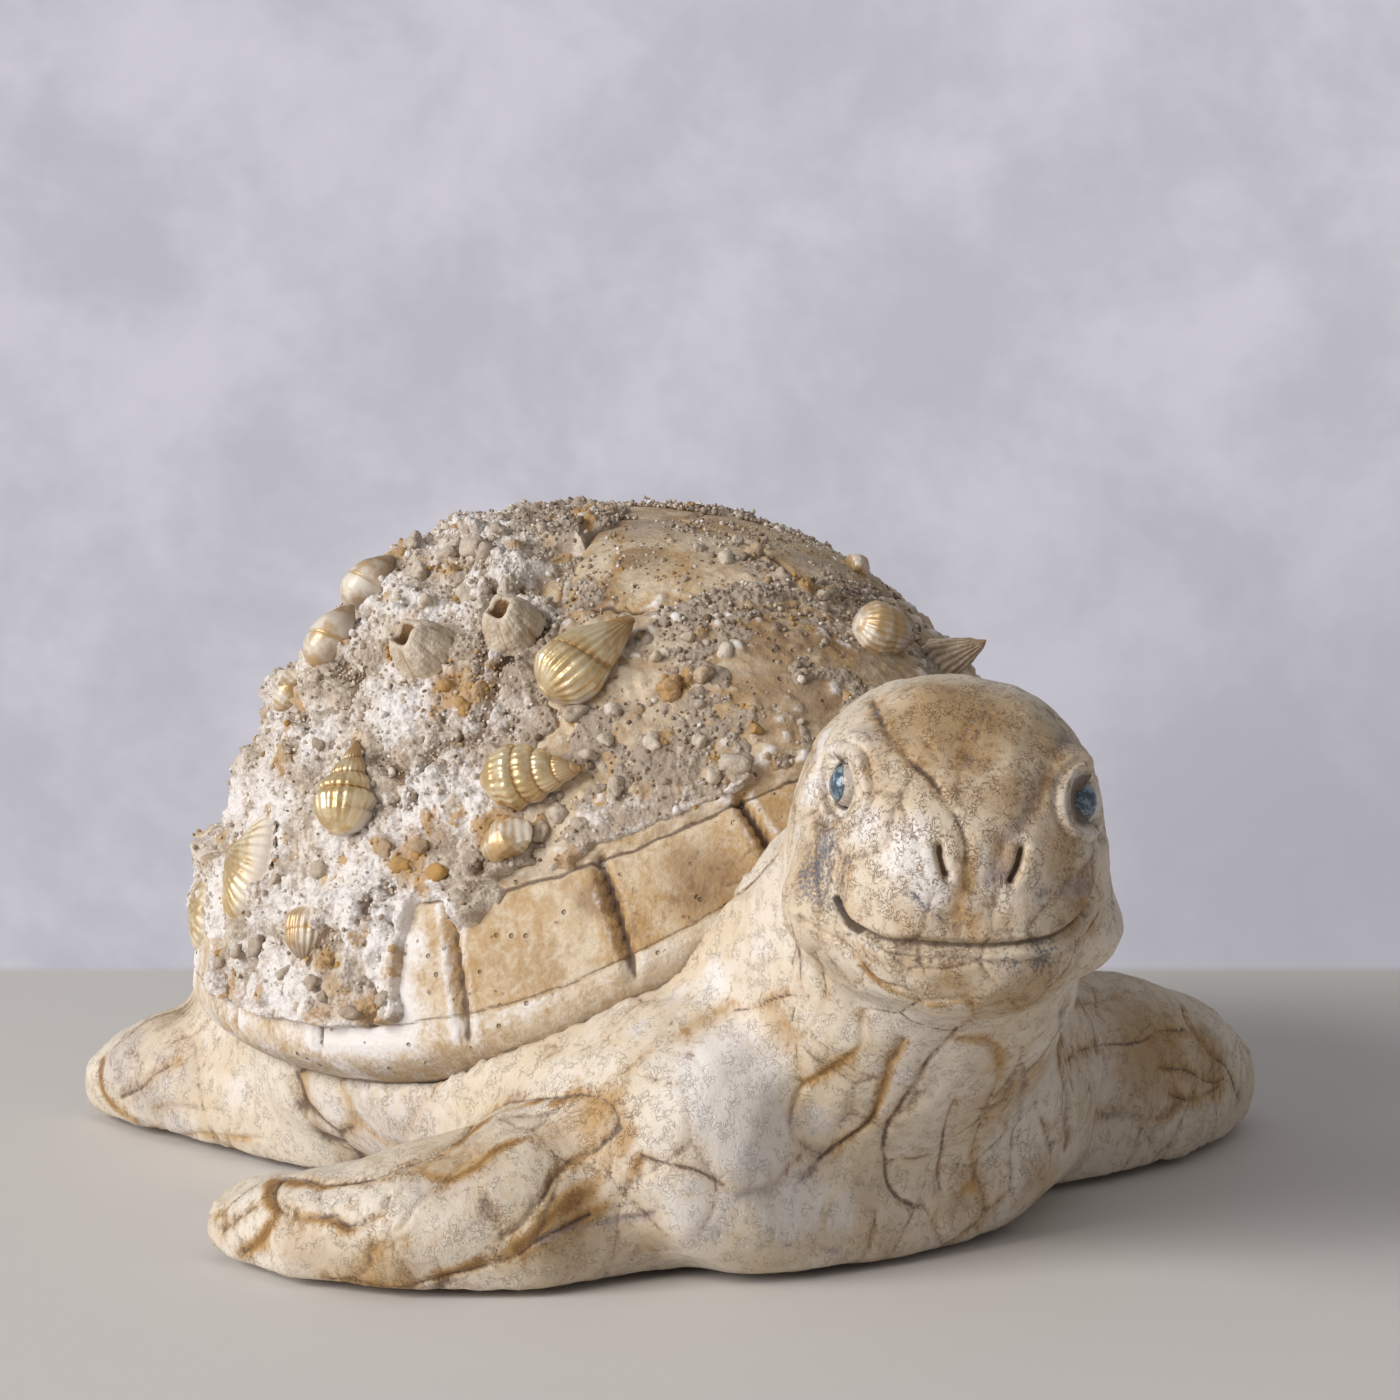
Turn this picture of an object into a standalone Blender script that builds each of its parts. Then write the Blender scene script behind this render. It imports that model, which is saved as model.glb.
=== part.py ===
"""Crawling sea turtle figurine: a carved-look resin casting with a separate crusted shell.

The turtle faces -Y, its left side is +X and +Z is up. Everything is laid out from the
middle of the shell, and moved at the end so that the origin lies under the middle of the
figurine's bounding box, on the table. Lengths are metres, angles are degrees.
"""
import math

import bmesh
import bpy
import numpy as np
from mathutils import Matrix, Vector
from mathutils.bvhtree import BVHTree

MM = 0.001
GOLDEN_SHARE = (math.sqrt(5.0) - 1.0) / 2.0

# The shell: an oval dome whose rim lifts over the neck.
SHELL_HALF_LENGTH = 0.089
SHELL_HALF_WIDTH = 0.078
SHELL_APEX_HEIGHT = 0.1198
RIM_HEIGHT_SIDE = 0.0265
RIM_LIFT_OVER_NECK = 0.044
RIM_LIFT_OVER_TAIL = 0.006
RIM_LIFT_SPREAD = 46.0
DOME_FULLNESS = 2.6
DOME_ROUNDING = 0.72
BAND_SHARE = 0.925
BAND_STEP = 0.0016
LIP_DEPTH_FRONT = 0.0095
LIP_DEPTH_REAR = 0.0035
LIP_INSET = 0.006
SEAT_HEIGHT = 0.030
MARGINAL_SCUTES = 18
MARGINAL_GROOVE_DEPTH = 0.0022
GROOVE_WIDTH = 0.0030
# Shares of a plate's width where the grid has columns between two grooves.
PLATE_COLUMNS = (1.0 / 3.0, 2.0 / 3.0)
SEAM_DEPTH = 0.0018
CROWN_SHARE = 0.13
RING_SHARE = 0.60
# Numbers of the marginal seams, counted from the front, that run on up the dome.
CROWN_SEAMS = (0, 3, 6, 9, 12, 15)
COSTAL_SEAMS = (1, 5, 8, 10, 13, 17)

# The crust of sand and grit on the shell, and the clods that rise from it.
CRUST_THICKNESS = 0.0018
CRUST_FILLS_GROOVES = 0.7
CLOD_COUNT = 80
CLOD_REACH = 0.93
CLOD_RADIUS = 0.0100
CLOD_HEIGHT = 0.0038

# The body casting.
VOXEL = 0.0024
SMOOTHING_STEPS = 7
BODY_FACES = 2360
SEAT_GAP = 0.0003
BELLY_HEIGHT = 0.0012
TORSO_HALF_WIDTH = 0.070
TORSO_HEIGHT = 0.043
CHEST_REACH = 0.101
TAIL_REACH = 0.112
TAIL_HALF_WIDTH = 0.009
TAIL_HEIGHT = 0.011

# The neck and head. The head turns and leans to the turtle's right.
HEAD_REACH = 0.118
HEAD_SIDE_SHIFT = -0.019
HEAD_HEIGHT = 0.076
HEAD_TURN = 31.0
HEAD_LEAN = 5.0
HEAD_HALF_WIDTH = 0.0264
HEAD_TAPER = 0.10
HEAD_RISE = 0.0275
HEAD_DROP = 0.0275
HEAD_BACK = 0.030
HEAD_SNOUT = 0.0318
NECK_RADIUS = 0.0245
CHEEK_SIZE = 0.0095
BROW_SIZE = 0.0062
MOUTH_DEPTH = 0.0016
MOUTH_HALF_ANGLE = 57.0
MOUTH_LEVEL = -0.0120
MOUTH_SMILE = 0.0042
NOSTRIL_ANGLE = 12.0
NOSTRIL_LEVEL = 0.0016
NOSTRIL_HEIGHT = 0.0052
NOSTRIL_WIDTH = 0.0022
NOSTRIL_DEPTH = 0.0018
NOSTRIL_LEAN = 14.0
EYE_ANGLE = 63.0
EYE_LEVEL = 0.0095
EYE_RADIUS = 0.0037
EYE_SOCKET_WIDTH = 0.0170
EYE_SOCKET_HEIGHT = 0.0135
EYE_SOCKET_DEPTH = 0.0030

# The flippers, and the grooves that part their tips in toes.
RIGHT_FRONT_REACH = 0.0995
LEFT_FRONT_REACH = 0.108
REAR_REACH = 0.087
FRONT_HALF_CHORD = 0.023
REAR_HALF_CHORD = 0.020
FRONT_FLIPPER_HEIGHT = 0.0365
REAR_FLIPPER_HEIGHT = 0.025
TOE_GROOVE_LENGTH = 0.024
TOE_GROOVE_WIDTH = 0.0040
TOE_GROOVE_DEPTH = 0.0040
TOE_GROOVE_RISE = 0.0005
TOE_SPREAD = 0.40

# The felt pads under the belly.
PAD_RADIUS = 0.0065
PAD_SPREAD_X = 0.034
PAD_SPREAD_Y = 0.048

# A limpet's tip leans over by this share of its height.
LIMPET_LEAN = 0.40


def clear_scene():
    """Starts from an empty scene."""
    for obj in list(bpy.data.objects):
        bpy.data.objects.remove(obj)


def finish(name, colour, roughness, metallic=0.0):
    """A plain Principled material."""
    made = bpy.data.materials.new(name)
    made.use_nodes = True
    shader = made.node_tree.nodes["Principled BSDF"]
    shader.inputs["Base Color"].default_value = (*colour, 1.0)
    shader.inputs["Roughness"].default_value = roughness
    shader.inputs["Metallic"].default_value = metallic
    return made


def add_object(name, mesh, material=None, sharp_angle=35.0):
    """Links a mesh as one named object, shaded smooth apart from its sharp edges."""
    obj = bpy.data.objects.new(name, mesh)
    bpy.context.scene.collection.objects.link(obj)
    mesh.shade_smooth()
    mesh.set_sharp_from_angle(angle=math.radians(sharp_angle))
    if material:
        mesh.materials.append(material)
    return obj


def mesh_from(name, points, faces):
    """A mesh from points and faces, with its faces turned to point out."""
    mesh = bpy.data.meshes.new(name)
    mesh.from_pydata([tuple(p) for p in points], [], faces)
    bm = bmesh.new()
    bm.from_mesh(mesh)
    bmesh.ops.recalc_face_normals(bm, faces=bm.faces)
    bm.to_mesh(mesh)
    bm.free()
    return mesh


def make_cutter(obj):
    """Hides a shape that only cuts others."""
    obj.hide_render = True
    obj.display_type = "WIRE"
    return obj


def cut(obj, cutter):
    """Takes a cutter's shape out of an object."""
    modifier = obj.modifiers.new("cut_" + cutter.name, "BOOLEAN")
    modifier.operation = "DIFFERENCE"
    modifier.solver = "EXACT"
    modifier.object = cutter


def ring_faces(rings, columns, start=0):
    """Quads between rings of equal length that are stored one after another."""
    faces = []
    for ring in range(rings - 1):
        for column in range(columns):
            after = (column + 1) % columns
            a = start + ring * columns
            b = a + columns
            faces.append((a + column, a + after, b + after, b + column))
    return faces


def capped_rings(points, rings, columns):
    """Faces of a tube of rings, closed by one many-sided face at each end."""
    faces = ring_faces(rings, columns)
    faces.append(tuple(reversed(range(columns))))
    faces.append(tuple((rings - 1) * columns + column for column in range(columns)))
    return points, faces


def loft(stations, columns=20, squareness=0.86, taper=0.0):
    """A closed form through sections (centre, side, up, half width, rise, drop).

    With a taper, each section is that share narrower at its top and wider at its foot.
    """
    points = []
    for centre, side, up, half_width, rise, drop in stations:
        for column in range(columns):
            angle = 2.0 * math.pi * column / columns
            across, along = math.cos(angle), math.sin(angle)
            across = math.copysign(abs(across) ** squareness, across)
            along = math.copysign(abs(along) ** squareness, along)
            reach = rise if along > 0.0 else drop
            width = half_width * (1.0 - taper * along)
            points.append(centre + side * (width * across) + up * (reach * along))
    return capped_rings(points, len(stations), columns)


def rim_height(angle):
    """Height of the rim's lower edge at an angle from the front."""
    turned = abs((angle + 180.0) % 360.0 - 180.0)
    over_neck = RIM_LIFT_OVER_NECK * math.exp(-((turned / RIM_LIFT_SPREAD) ** 2))
    return RIM_HEIGHT_SIDE + over_neck + RIM_LIFT_OVER_TAIL * (turned / 180.0) ** 2


def dome_height(angle, share):
    """Height of the smooth dome at an angle and a share of the way out to the rim."""
    rim = rim_height(angle)
    return rim + (SHELL_APEX_HEIGHT - rim) * (1.0 - share**DOME_FULLNESS) ** DOME_ROUNDING


def dome_point(angle, share):
    """A point on the smooth dome."""
    turn = math.radians(angle)
    x = SHELL_HALF_WIDTH * share * math.sin(turn)
    y = -SHELL_HALF_LENGTH * share * math.cos(turn)
    return Vector((x, y, dome_height(angle, share)))


def dome_normal(angle, share):
    """The dome's outward direction, from two short steps along it."""
    step = 0.01
    inner = dome_point(angle, max(share - step, 0.001))
    outer = dome_point(angle, min(share + step, 0.995))
    left = dome_point(angle - 1.0, share)
    right = dome_point(angle + 1.0, share)
    normal = (outer - inner).cross(right - left).normalized()
    return normal if normal.z > 0.0 else -normal


def smooth_step(low, high, value):
    """0 below low, 1 above high, with an even ease between."""
    t = min(1.0, max(0.0, (value - low) / (high - low)))
    return t * t * (3.0 - 2.0 * t)


def crust_cover(angle, share):
    """How thick the crust lies, from 0 to 1: full over the right rear flank, thin in front."""
    turned = (angle + 180.0) % 360.0 - 180.0
    flank = 1.0 - smooth_step(55.0, 85.0, abs(turned + 118.0))
    far_side = 0.7 * (1.0 - smooth_step(25.0, 60.0, abs(turned - 105.0)))
    front = 0.55 * (1.0 - smooth_step(30.0, 60.0, abs(turned + 15.0))) * smooth_step(0.5, 0.62, share)
    below_band = 1.0 - smooth_step(0.86, 0.93, share) * (1.0 - smooth_step(40.0, 70.0, abs(turned + 125.0)))
    off_edge = 1.0 - smooth_step(0.95, 0.99, share)
    return max(flank, far_side, front) * below_band * off_edge


def crust_clods():
    """Middles and heights of the clods. A spiral of golden-angle steps spreads them evenly."""
    clods = []
    for index in range(CLOD_COUNT):
        drop = (index + 0.5) / CLOD_COUNT
        share = CLOD_REACH * math.sqrt(1.0 - (1.0 - drop) ** 2)
        swell = 0.5 + 0.5 * (index * GOLDEN_SHARE % 1.0)
        clods.append((dome_point(index * GOLDEN_SHARE * 360.0, share), CLOD_HEIGHT * swell))
    return clods


CLODS = crust_clods()


def crust_relief(point, angle, share):
    """Height of the crust over the smooth dome: an even bed, and the clods that stand on it."""
    relief = CRUST_THICKNESS
    for middle, height in CLODS:
        away = (point - middle).length / CLOD_RADIUS
        if away < 1.0:
            relief += height * (1.0 - away**2) ** 2
    return relief * crust_cover(angle, share)


def shell_columns():
    """The dome's columns as (place, offset). A place counts plates from the front. An offset
    counts half grooves from there: each groove has a lip, its floor and a lip."""
    columns = []
    for scute in range(MARGINAL_SCUTES):
        columns += [(scute, -1.0), (scute, 0.0), (scute, 1.0)]
        columns += [(scute + part, None) for part in PLATE_COLUMNS]
    return columns


def column_angle(place, offset, share):
    """Angle of a column, whose groove keeps its width in millimetres nearly up to the crown."""
    angle = place * 360.0 / MARGINAL_SCUTES
    if offset is None:
        return angle
    half = math.degrees(GROOVE_WIDTH / 2.0 / (SHELL_HALF_WIDTH * max(share, 0.2)))
    return angle + offset * half


def shell_rings():
    """Rings of the upper side as (share, seam) from the apex out to the rim."""
    lip = GROOVE_WIDTH / 2.0 / SHELL_HALF_WIDTH
    inner = [(0.05, False)]
    for seam, between in ((CROWN_SHARE, (0.22, 0.33, 0.45)), (RING_SHARE, (0.69, 0.76, 0.83, 0.89))):
        inner += [(seam - lip, False), (seam, True), (seam + lip, False)]
        inner += [(share, False) for share in between]
    return inner + [(BAND_SHARE, False), (BAND_SHARE + lip, False), (0.975, False), (0.997, False)]


def groove_depth(place, offset, share, seam):
    """How deep a groove is cut at a point of the grid: in seams of rings and of columns."""
    if share > BAND_SHARE:
        return MARGINAL_GROOVE_DEPTH if offset == 0.0 else 0.0
    if seam:
        return SEAM_DEPTH
    scutes = CROWN_SEAMS if share < RING_SHARE else COSTAL_SEAMS
    in_seam = offset == 0.0 and place in scutes and share > CROWN_SHARE
    return SEAM_DEPTH if in_seam else 0.0


def upper_rings(grow):
    """The dome's upper side: crust, seams, and the raised band round the rim."""
    rings = []
    for share, seam in shell_rings():
        step = BAND_STEP * (1.0 if share < 0.99 else 0.6) if share > BAND_SHARE else 0.0
        ring = []
        for place, offset in shell_columns():
            angle = column_angle(place, offset, share)
            point, normal = dome_point(angle, share), dome_normal(angle, min(share, 0.985))
            filled = CRUST_FILLS_GROOVES * crust_cover(angle, share)
            depth = groove_depth(place, offset, share, seam) * (1.0 - filled)
            ring.append(point + normal * (step + grow + crust_relief(point, angle, share) - depth))
        rings.append(ring)
    return rings


def lower_rings(grow):
    """The underside: a lip that turns in below the rim, and the seat for the body."""
    rings = []
    for inset, drop in ((LIP_INSET * 0.15, 0.25), (LIP_INSET, 1.0), (LIP_INSET * 2.6, 1.0)):
        ring = []
        for place, offset in shell_columns():
            angle = column_angle(place, offset, 1.0)
            turned = abs((angle + 180.0) % 360.0 - 180.0)
            depth = LIP_DEPTH_REAR + (LIP_DEPTH_FRONT - LIP_DEPTH_REAR) * math.exp(-((turned / 75.0) ** 2))
            turn = math.radians(angle)
            x = (SHELL_HALF_WIDTH - inset + grow) * math.sin(turn)
            y = -(SHELL_HALF_LENGTH - inset + grow) * math.cos(turn)
            ring.append(Vector((x, y, rim_height(angle) - depth * drop - grow)))
        rings.append(ring)
    last = []
    for place, offset in shell_columns():
        turn = math.radians(column_angle(place, offset, 1.0))
        x, y = 0.5 * SHELL_HALF_WIDTH * math.sin(turn), -0.5 * SHELL_HALF_LENGTH * math.cos(turn)
        last.append(Vector((x, y, SEAT_HEIGHT - grow)))
    return rings + [last]


def shell_mesh(name, grow=0.0):
    """The carapace as one closed mesh. Grown, it is the clearance that others keep to it."""
    rings = upper_rings(grow) + lower_rings(grow)
    columns = len(rings[0])
    points = [point for ring in rings for point in ring]
    faces = ring_faces(len(rings), columns)
    apex, seat = len(points), len(points) + 1
    points.append(Vector((0.0, 0.0, SHELL_APEX_HEIGHT + grow)))
    points.append(Vector((0.0, 0.0, SEAT_HEIGHT - grow)))
    last = (len(rings) - 1) * columns
    for column in range(columns):
        after = (column + 1) % columns
        faces.append((apex, after, column))
        faces.append((seat, last + column, last + after))
    mesh = mesh_from(name, points, faces)
    bm = bmesh.new()
    bm.from_mesh(mesh)
    bmesh.ops.triangulate(bm, faces=bm.faces, quad_method="FIXED")
    bm.to_mesh(mesh)
    bm.free()
    return mesh


def build_head_frame():
    """The head's middle, and its axes: forward, left and up."""
    turn, lean = math.radians(HEAD_TURN), math.radians(HEAD_LEAN)
    forward = Vector((-math.sin(turn), -math.cos(turn), 0.0))
    left = Vector((math.cos(turn), -math.sin(turn), 0.0))
    rolled = Matrix.Rotation(-lean, 3, forward)
    up = rolled @ Vector((0.0, 0.0, 1.0))
    left = rolled @ left
    centre = Vector((HEAD_SIDE_SHIFT, -HEAD_REACH, HEAD_HEIGHT))
    return centre, forward, left, up


def head_stations():
    """Sections of the head from the back of the skull to the blunt snout."""
    centre, forward, left, up = build_head_frame()
    table = (
        # reach, half width, rise and drop, each as a share of the head's own
        (-1.00, 0.40, 0.30, 0.55),
        (-0.86, 0.72, 0.62, 0.80),
        (-0.55, 0.93, 0.92, 0.95),
        (-0.10, 1.00, 1.00, 1.00),
        (0.28, 0.95, 0.93, 0.99),
        (0.55, 0.85, 0.76, 0.95),
        (0.78, 0.70, 0.52, 0.88),
        (0.93, 0.52, 0.28, 0.74),
        (1.00, 0.30, 0.08, 0.52),
    )
    stations = []
    for reach, width, rise, drop in table:
        along = reach * (HEAD_SNOUT if reach > 0.0 else HEAD_BACK)
        stations.append((
            centre + forward * along, left, up,
            width * HEAD_HALF_WIDTH, rise * HEAD_RISE, drop * HEAD_DROP,
        ))
    return stations


def face_bumps():
    """Balls that swell the cheeks at the mouth's corners and the brows over the eyes."""
    centre, forward, left, up = build_head_frame()
    bumps = []
    for side in (-1.0, 1.0):
        cheek = centre + left * (side * 0.74 * HEAD_HALF_WIDTH) + forward * (0.30 * HEAD_SNOUT)
        bumps.append((cheek - up * (0.40 * HEAD_DROP), CHEEK_SIZE))
        brow = centre + left * (side * 0.60 * HEAD_HALF_WIDTH) + forward * (0.40 * HEAD_SNOUT)
        bumps.append((brow + up * (0.52 * HEAD_RISE), BROW_SIZE))
    stations = []
    for middle, radius in bumps:
        stations.append([
            (middle + forward * (radius * math.sin(math.radians(turn))), left, up,
             *(3 * (radius * math.cos(math.radians(turn)),)))
            for turn in (-75.0, -40.0, 0.0, 40.0, 75.0)
        ])
    return stations


def torso_stations():
    """Sections of the low trunk from the chest to the tail's root."""
    side, up = Vector((1.0, 0.0, 0.0)), Vector((0.0, 0.0, 1.0))
    table = (
        # place from chest (-1) to rear (1), sway to the right, half width, rise, drop
        (-1.00, 0.28, 0.44, 0.42, 0.46),
        (-0.95, 0.23, 0.62, 0.58, 0.53),
        (-0.82, 0.15, 0.79, 0.68, 0.56),
        (-0.60, 0.05, 0.90, 0.64, 0.56),
        (-0.30, 0.00, 0.99, 0.56, 0.56),
        (0.10, 0.00, 1.00, 0.46, 0.56),
        (0.50, 0.00, 0.91, 0.44, 0.56),
        (0.80, 0.00, 0.68, 0.42, 0.54),
        (0.96, 0.00, 0.36, 0.26, 0.40),
    )
    middle = TORSO_HEIGHT / 2.0
    return [
        (Vector((-sway * TORSO_HALF_WIDTH, place * CHEST_REACH, middle)), side, up,
         width * TORSO_HALF_WIDTH, rise * TORSO_HEIGHT, drop * TORSO_HEIGHT)
        for place, sway, width, rise, drop in table
    ]


def neck_stations():
    """Round sections of the neck, which bends from the chest up to the turned head."""
    centre, forward, left, up = build_head_frame()
    root = Vector((HEAD_SIDE_SHIFT * 0.3, -CHEST_REACH * 0.55, TORSO_HEIGHT * 0.75))
    end = centre - up * (0.30 * HEAD_DROP) - forward * (0.25 * HEAD_BACK)
    bend = Vector((HEAD_SIDE_SHIFT * 0.6, -CHEST_REACH * 0.93, TORSO_HEIGHT * 1.0))
    stations = []
    for step in range(7):
        t = step / 6.0
        point = root * (1 - t) ** 2 + bend * (2 * t * (1 - t)) + end * t**2
        tangent = (bend - root) * (2 * (1 - t)) + (end - bend) * (2 * t)
        tangent.normalize()
        side = tangent.cross(Vector((0.0, 0.0, 1.0))).normalized()
        radius = NECK_RADIUS * (1.65 - 0.95 * t + 0.30 * t**2)
        stations.append((point, side, side.cross(tangent), radius * 1.05, radius, radius))
    return stations


def flipper_sections(flipper, mirror=1.0):
    """Sections of a flipper in metres: (place on the floor, half chord, top, bottom)."""
    table, reach, chord, height = flipper
    return [
        (Vector((mirror * x * reach, y * reach, 0.0)), half * chord, top * height, bottom * height)
        for x, y, half, top, bottom in table
    ]


def limb_stations(flipper, mirror=1.0):
    """Sections of a flipper, each square to the line that runs out to its tip."""
    sections = flipper_sections(flipper, mirror)
    spine = [section[0] for section in sections]
    stations = []
    for index, (place, half_chord, top, bottom) in enumerate(sections):
        before, after = spine[max(index - 1, 0)], spine[min(index + 1, len(spine) - 1)]
        along = (after - before).normalized()
        side = Vector((-along.y, along.x, 0.0))
        middle = (top + bottom) / 2.0
        centre = place + Vector((0.0, 0.0, middle))
        stations.append((centre, side, Vector((0.0, 0.0, 1.0)), half_chord, top - middle, middle - bottom))
    return stations


# Flipper sections: x outwards and y rearwards as shares of the reach, half chord as a share
# of its widest, top and bottom heights as shares of the height at the root.
RIGHT_FRONT_SECTIONS = (
    (0.342, -0.603, 1.04, 0.986, -0.164), (0.563, -0.653, 0.91, 0.849, -0.164),
    (0.734, -0.663, 0.85, 0.726, -0.164), (0.869, -0.583, 0.78, 0.603, -0.137),
    (0.950, -0.462, 0.67, 0.493, -0.110), (0.990, -0.332, 0.52, 0.411, -0.082),
    (1.000, -0.231, 0.35, 0.315, -0.027),
)
LEFT_FRONT_SECTIONS = (
    (0.315, -0.537, 0.96, 1.014, -0.164), (0.500, -0.546, 0.91, 1.000, -0.164),
    (0.657, -0.528, 0.85, 0.918, -0.164), (0.796, -0.472, 0.76, 0.767, -0.137),
    (0.898, -0.421, 0.65, 0.616, -0.110), (0.963, -0.380, 0.48, 0.493, -0.082),
    (1.000, -0.356, 0.28, 0.397, -0.027),
)
REAR_SECTIONS = (
    (0.483, 0.115, 1.00, 1.000, -0.200), (0.575, 0.345, 0.93, 1.000, -0.200),
    (0.632, 0.575, 0.85, 0.980, -0.160), (0.678, 0.782, 0.75, 0.860, -0.120),
    (0.707, 0.920, 0.60, 0.680, -0.080), (0.730, 1.000, 0.35, 0.480, 0.000),
)
RIGHT_FRONT_FLIPPER = (RIGHT_FRONT_SECTIONS, RIGHT_FRONT_REACH, FRONT_HALF_CHORD, FRONT_FLIPPER_HEIGHT)
LEFT_FRONT_FLIPPER = (LEFT_FRONT_SECTIONS, LEFT_FRONT_REACH, FRONT_HALF_CHORD, FRONT_FLIPPER_HEIGHT)
REAR_FLIPPER = (REAR_SECTIONS, REAR_REACH, REAR_HALF_CHORD, REAR_FLIPPER_HEIGHT)


def tail_stations():
    """Sections of the short pointed tail."""
    side, up = Vector((1.0, 0.0, 0.0)), Vector((0.0, 0.0, 1.0))
    stations = []
    for t, size in ((0.0, 1.6), (0.35, 1.3), (0.7, 0.8), (1.0, 0.3)):
        y = CHEST_REACH * 0.8 + t * (TAIL_REACH - CHEST_REACH * 0.8)
        centre = Vector((0.0, y, TAIL_HEIGHT * (1.0 - 0.35 * t)))
        half_width = TAIL_HALF_WIDTH * size
        stations.append((centre, side, up, half_width, 0.7 * half_width, 0.6 * half_width))
    return stations


def block_out_body():
    """The body's lofted forms joined in one mesh, whose skins still run through each other."""
    forms = [
        loft(torso_stations(), columns=28, squareness=0.8),
        loft(neck_stations()),
        loft(head_stations(), columns=24, squareness=0.84, taper=HEAD_TAPER),
        loft(limb_stations(RIGHT_FRONT_FLIPPER, -1.0), squareness=0.9),
        loft(limb_stations(LEFT_FRONT_FLIPPER), squareness=0.9),
        loft(limb_stations(REAR_FLIPPER, -1.0), squareness=0.9),
        loft(limb_stations(REAR_FLIPPER), squareness=0.9),
        loft(tail_stations(), columns=12),
    ]
    forms += [loft(bump, columns=12, squareness=1.0) for bump in face_bumps()]
    points, faces = [], []
    for form_points, form_faces in forms:
        start = len(points)
        points += form_points
        faces += [tuple(start + corner for corner in face) for face in form_faces]
    return mesh_from("body_block", points, faces)


def melt_together(mesh, name):
    """Voxels make one skin of the joined forms, smoothing fills their creases."""
    obj = add_object(name, mesh)
    remesh = obj.modifiers.new("one_skin", "REMESH")
    remesh.mode = "VOXEL"
    remesh.voxel_size = VOXEL
    smooth = obj.modifiers.new("melt", "SMOOTH")
    smooth.factor = 0.5
    smooth.iterations = SMOOTHING_STEPS
    graph = bpy.context.evaluated_depsgraph_get()
    dense = bpy.data.meshes.new_from_object(obj.evaluated_get(graph))
    obj.modifiers.clear()
    obj.data = dense
    thin = obj.modifiers.new("carved_facets", "DECIMATE")
    thin.ratio = BODY_FACES / (2.0 * len(dense.polygons))
    graph = bpy.context.evaluated_depsgraph_get()
    obj.data = bpy.data.meshes.new_from_object(obj.evaluated_get(graph))
    obj.modifiers.clear()
    return obj


def box_mesh(name, low, high):
    """A plain box between two corners."""
    xs, ys, zs = zip(low, high)
    points = [(x, y, z) for x in xs for y in ys for z in zs]
    faces = [(0, 1, 3, 2), (4, 6, 7, 5), (0, 4, 5, 1), (2, 3, 7, 6), (0, 2, 6, 4), (1, 5, 7, 3)]
    return mesh_from(name, points, faces)


def ellipsoid(name, centre, axes, radii, segments=20, rings=10):
    """A ball stretched along three given directions."""
    bm = bmesh.new()
    bmesh.ops.create_uvsphere(bm, u_segments=segments, v_segments=rings, radius=1.0)
    columns = [axis * radius for axis, radius in zip(axes, radii)]
    matrix = Matrix((columns[0], columns[1], columns[2])).transposed().to_4x4()
    matrix.translation = centre
    bmesh.ops.transform(bm, matrix=matrix, verts=bm.verts)
    bmesh.ops.recalc_face_normals(bm, faces=bm.faces)
    mesh = bpy.data.meshes.new(name)
    bm.to_mesh(mesh)
    bm.free()
    return mesh


def surface_of(obj):
    """A search tree of an object's mesh."""
    bm = bmesh.new()
    bm.from_mesh(obj.data)
    tree = BVHTree.FromBMesh(bm)
    bm.free()
    return tree


def head_hit(tree, forward_angle, height):
    """Where a level line out of the head at an angle from straight ahead leaves its skin."""
    centre, forward, left, up = build_head_frame()
    turn = math.radians(forward_angle)
    out = forward * math.cos(turn) + left * math.sin(turn)
    start = centre + up * height + out * (2.5 * HEAD_SNOUT)
    place, _, _, _ = tree.ray_cast(start, -out)
    return place, out


def carve_eyes(body, tree, material):
    """Almond sockets with a round pocket, and a ball seated in each."""
    _, _, _, up = build_head_frame()
    for name, side in (("eye_right", -1.0), ("eye_left", 1.0)):
        place, out = head_hit(tree, side * EYE_ANGLE, EYE_LEVEL)
        along = up.cross(out).normalized()
        axes = (along, out, up)
        socket = ellipsoid(name + "_socket", place, axes,
                           (EYE_SOCKET_WIDTH / 2.0, EYE_SOCKET_DEPTH, EYE_SOCKET_HEIGHT / 2.0))
        cut(body, make_cutter(add_object(name + "_socket", socket)))
        middle = place - out * (EYE_SOCKET_DEPTH + EYE_RADIUS * 0.35)
        pocket_radius = EYE_RADIUS + SEAT_GAP
        pocket = ellipsoid(name + "_pocket", middle, axes, (pocket_radius,) * 3, 16, 8)
        cut(body, make_cutter(add_object(name + "_pocket", pocket)))
        ball = ellipsoid(name, middle, axes, (EYE_RADIUS,) * 3, 16, 8)
        add_object(name, ball, material)


def mouth_height(share):
    """Height of the mouth line from the head's middle, at a share of the way to its corner."""
    return MOUTH_LEVEL + MOUTH_SMILE * abs(share) ** 3


def carve_mouth(body, tree):
    """The smile: a V-shaped groove bent round the snout, which runs out at its corners."""
    _, _, _, up = build_head_frame()
    steps = 14
    proud = 1.25 * MOUTH_DEPTH
    points = []
    for step in range(steps + 1):
        share = 2.0 * step / steps - 1.0
        place, out = head_hit(tree, share * MOUTH_HALF_ANGLE, mouth_height(share))
        taper = 0.55 + 0.45 * (1.0 - share**6)
        deep = MOUTH_DEPTH * taper
        points.append(place - out * deep)
        points.append(place + out * proud + up * deep * 1.6)
        points.append(place + out * proud - up * deep * 1.6)
    points, faces = capped_rings(points, steps + 1, 3)
    cut(body, make_cutter(add_object("mouth_cut", mesh_from("mouth_cut", points, faces))))


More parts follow.
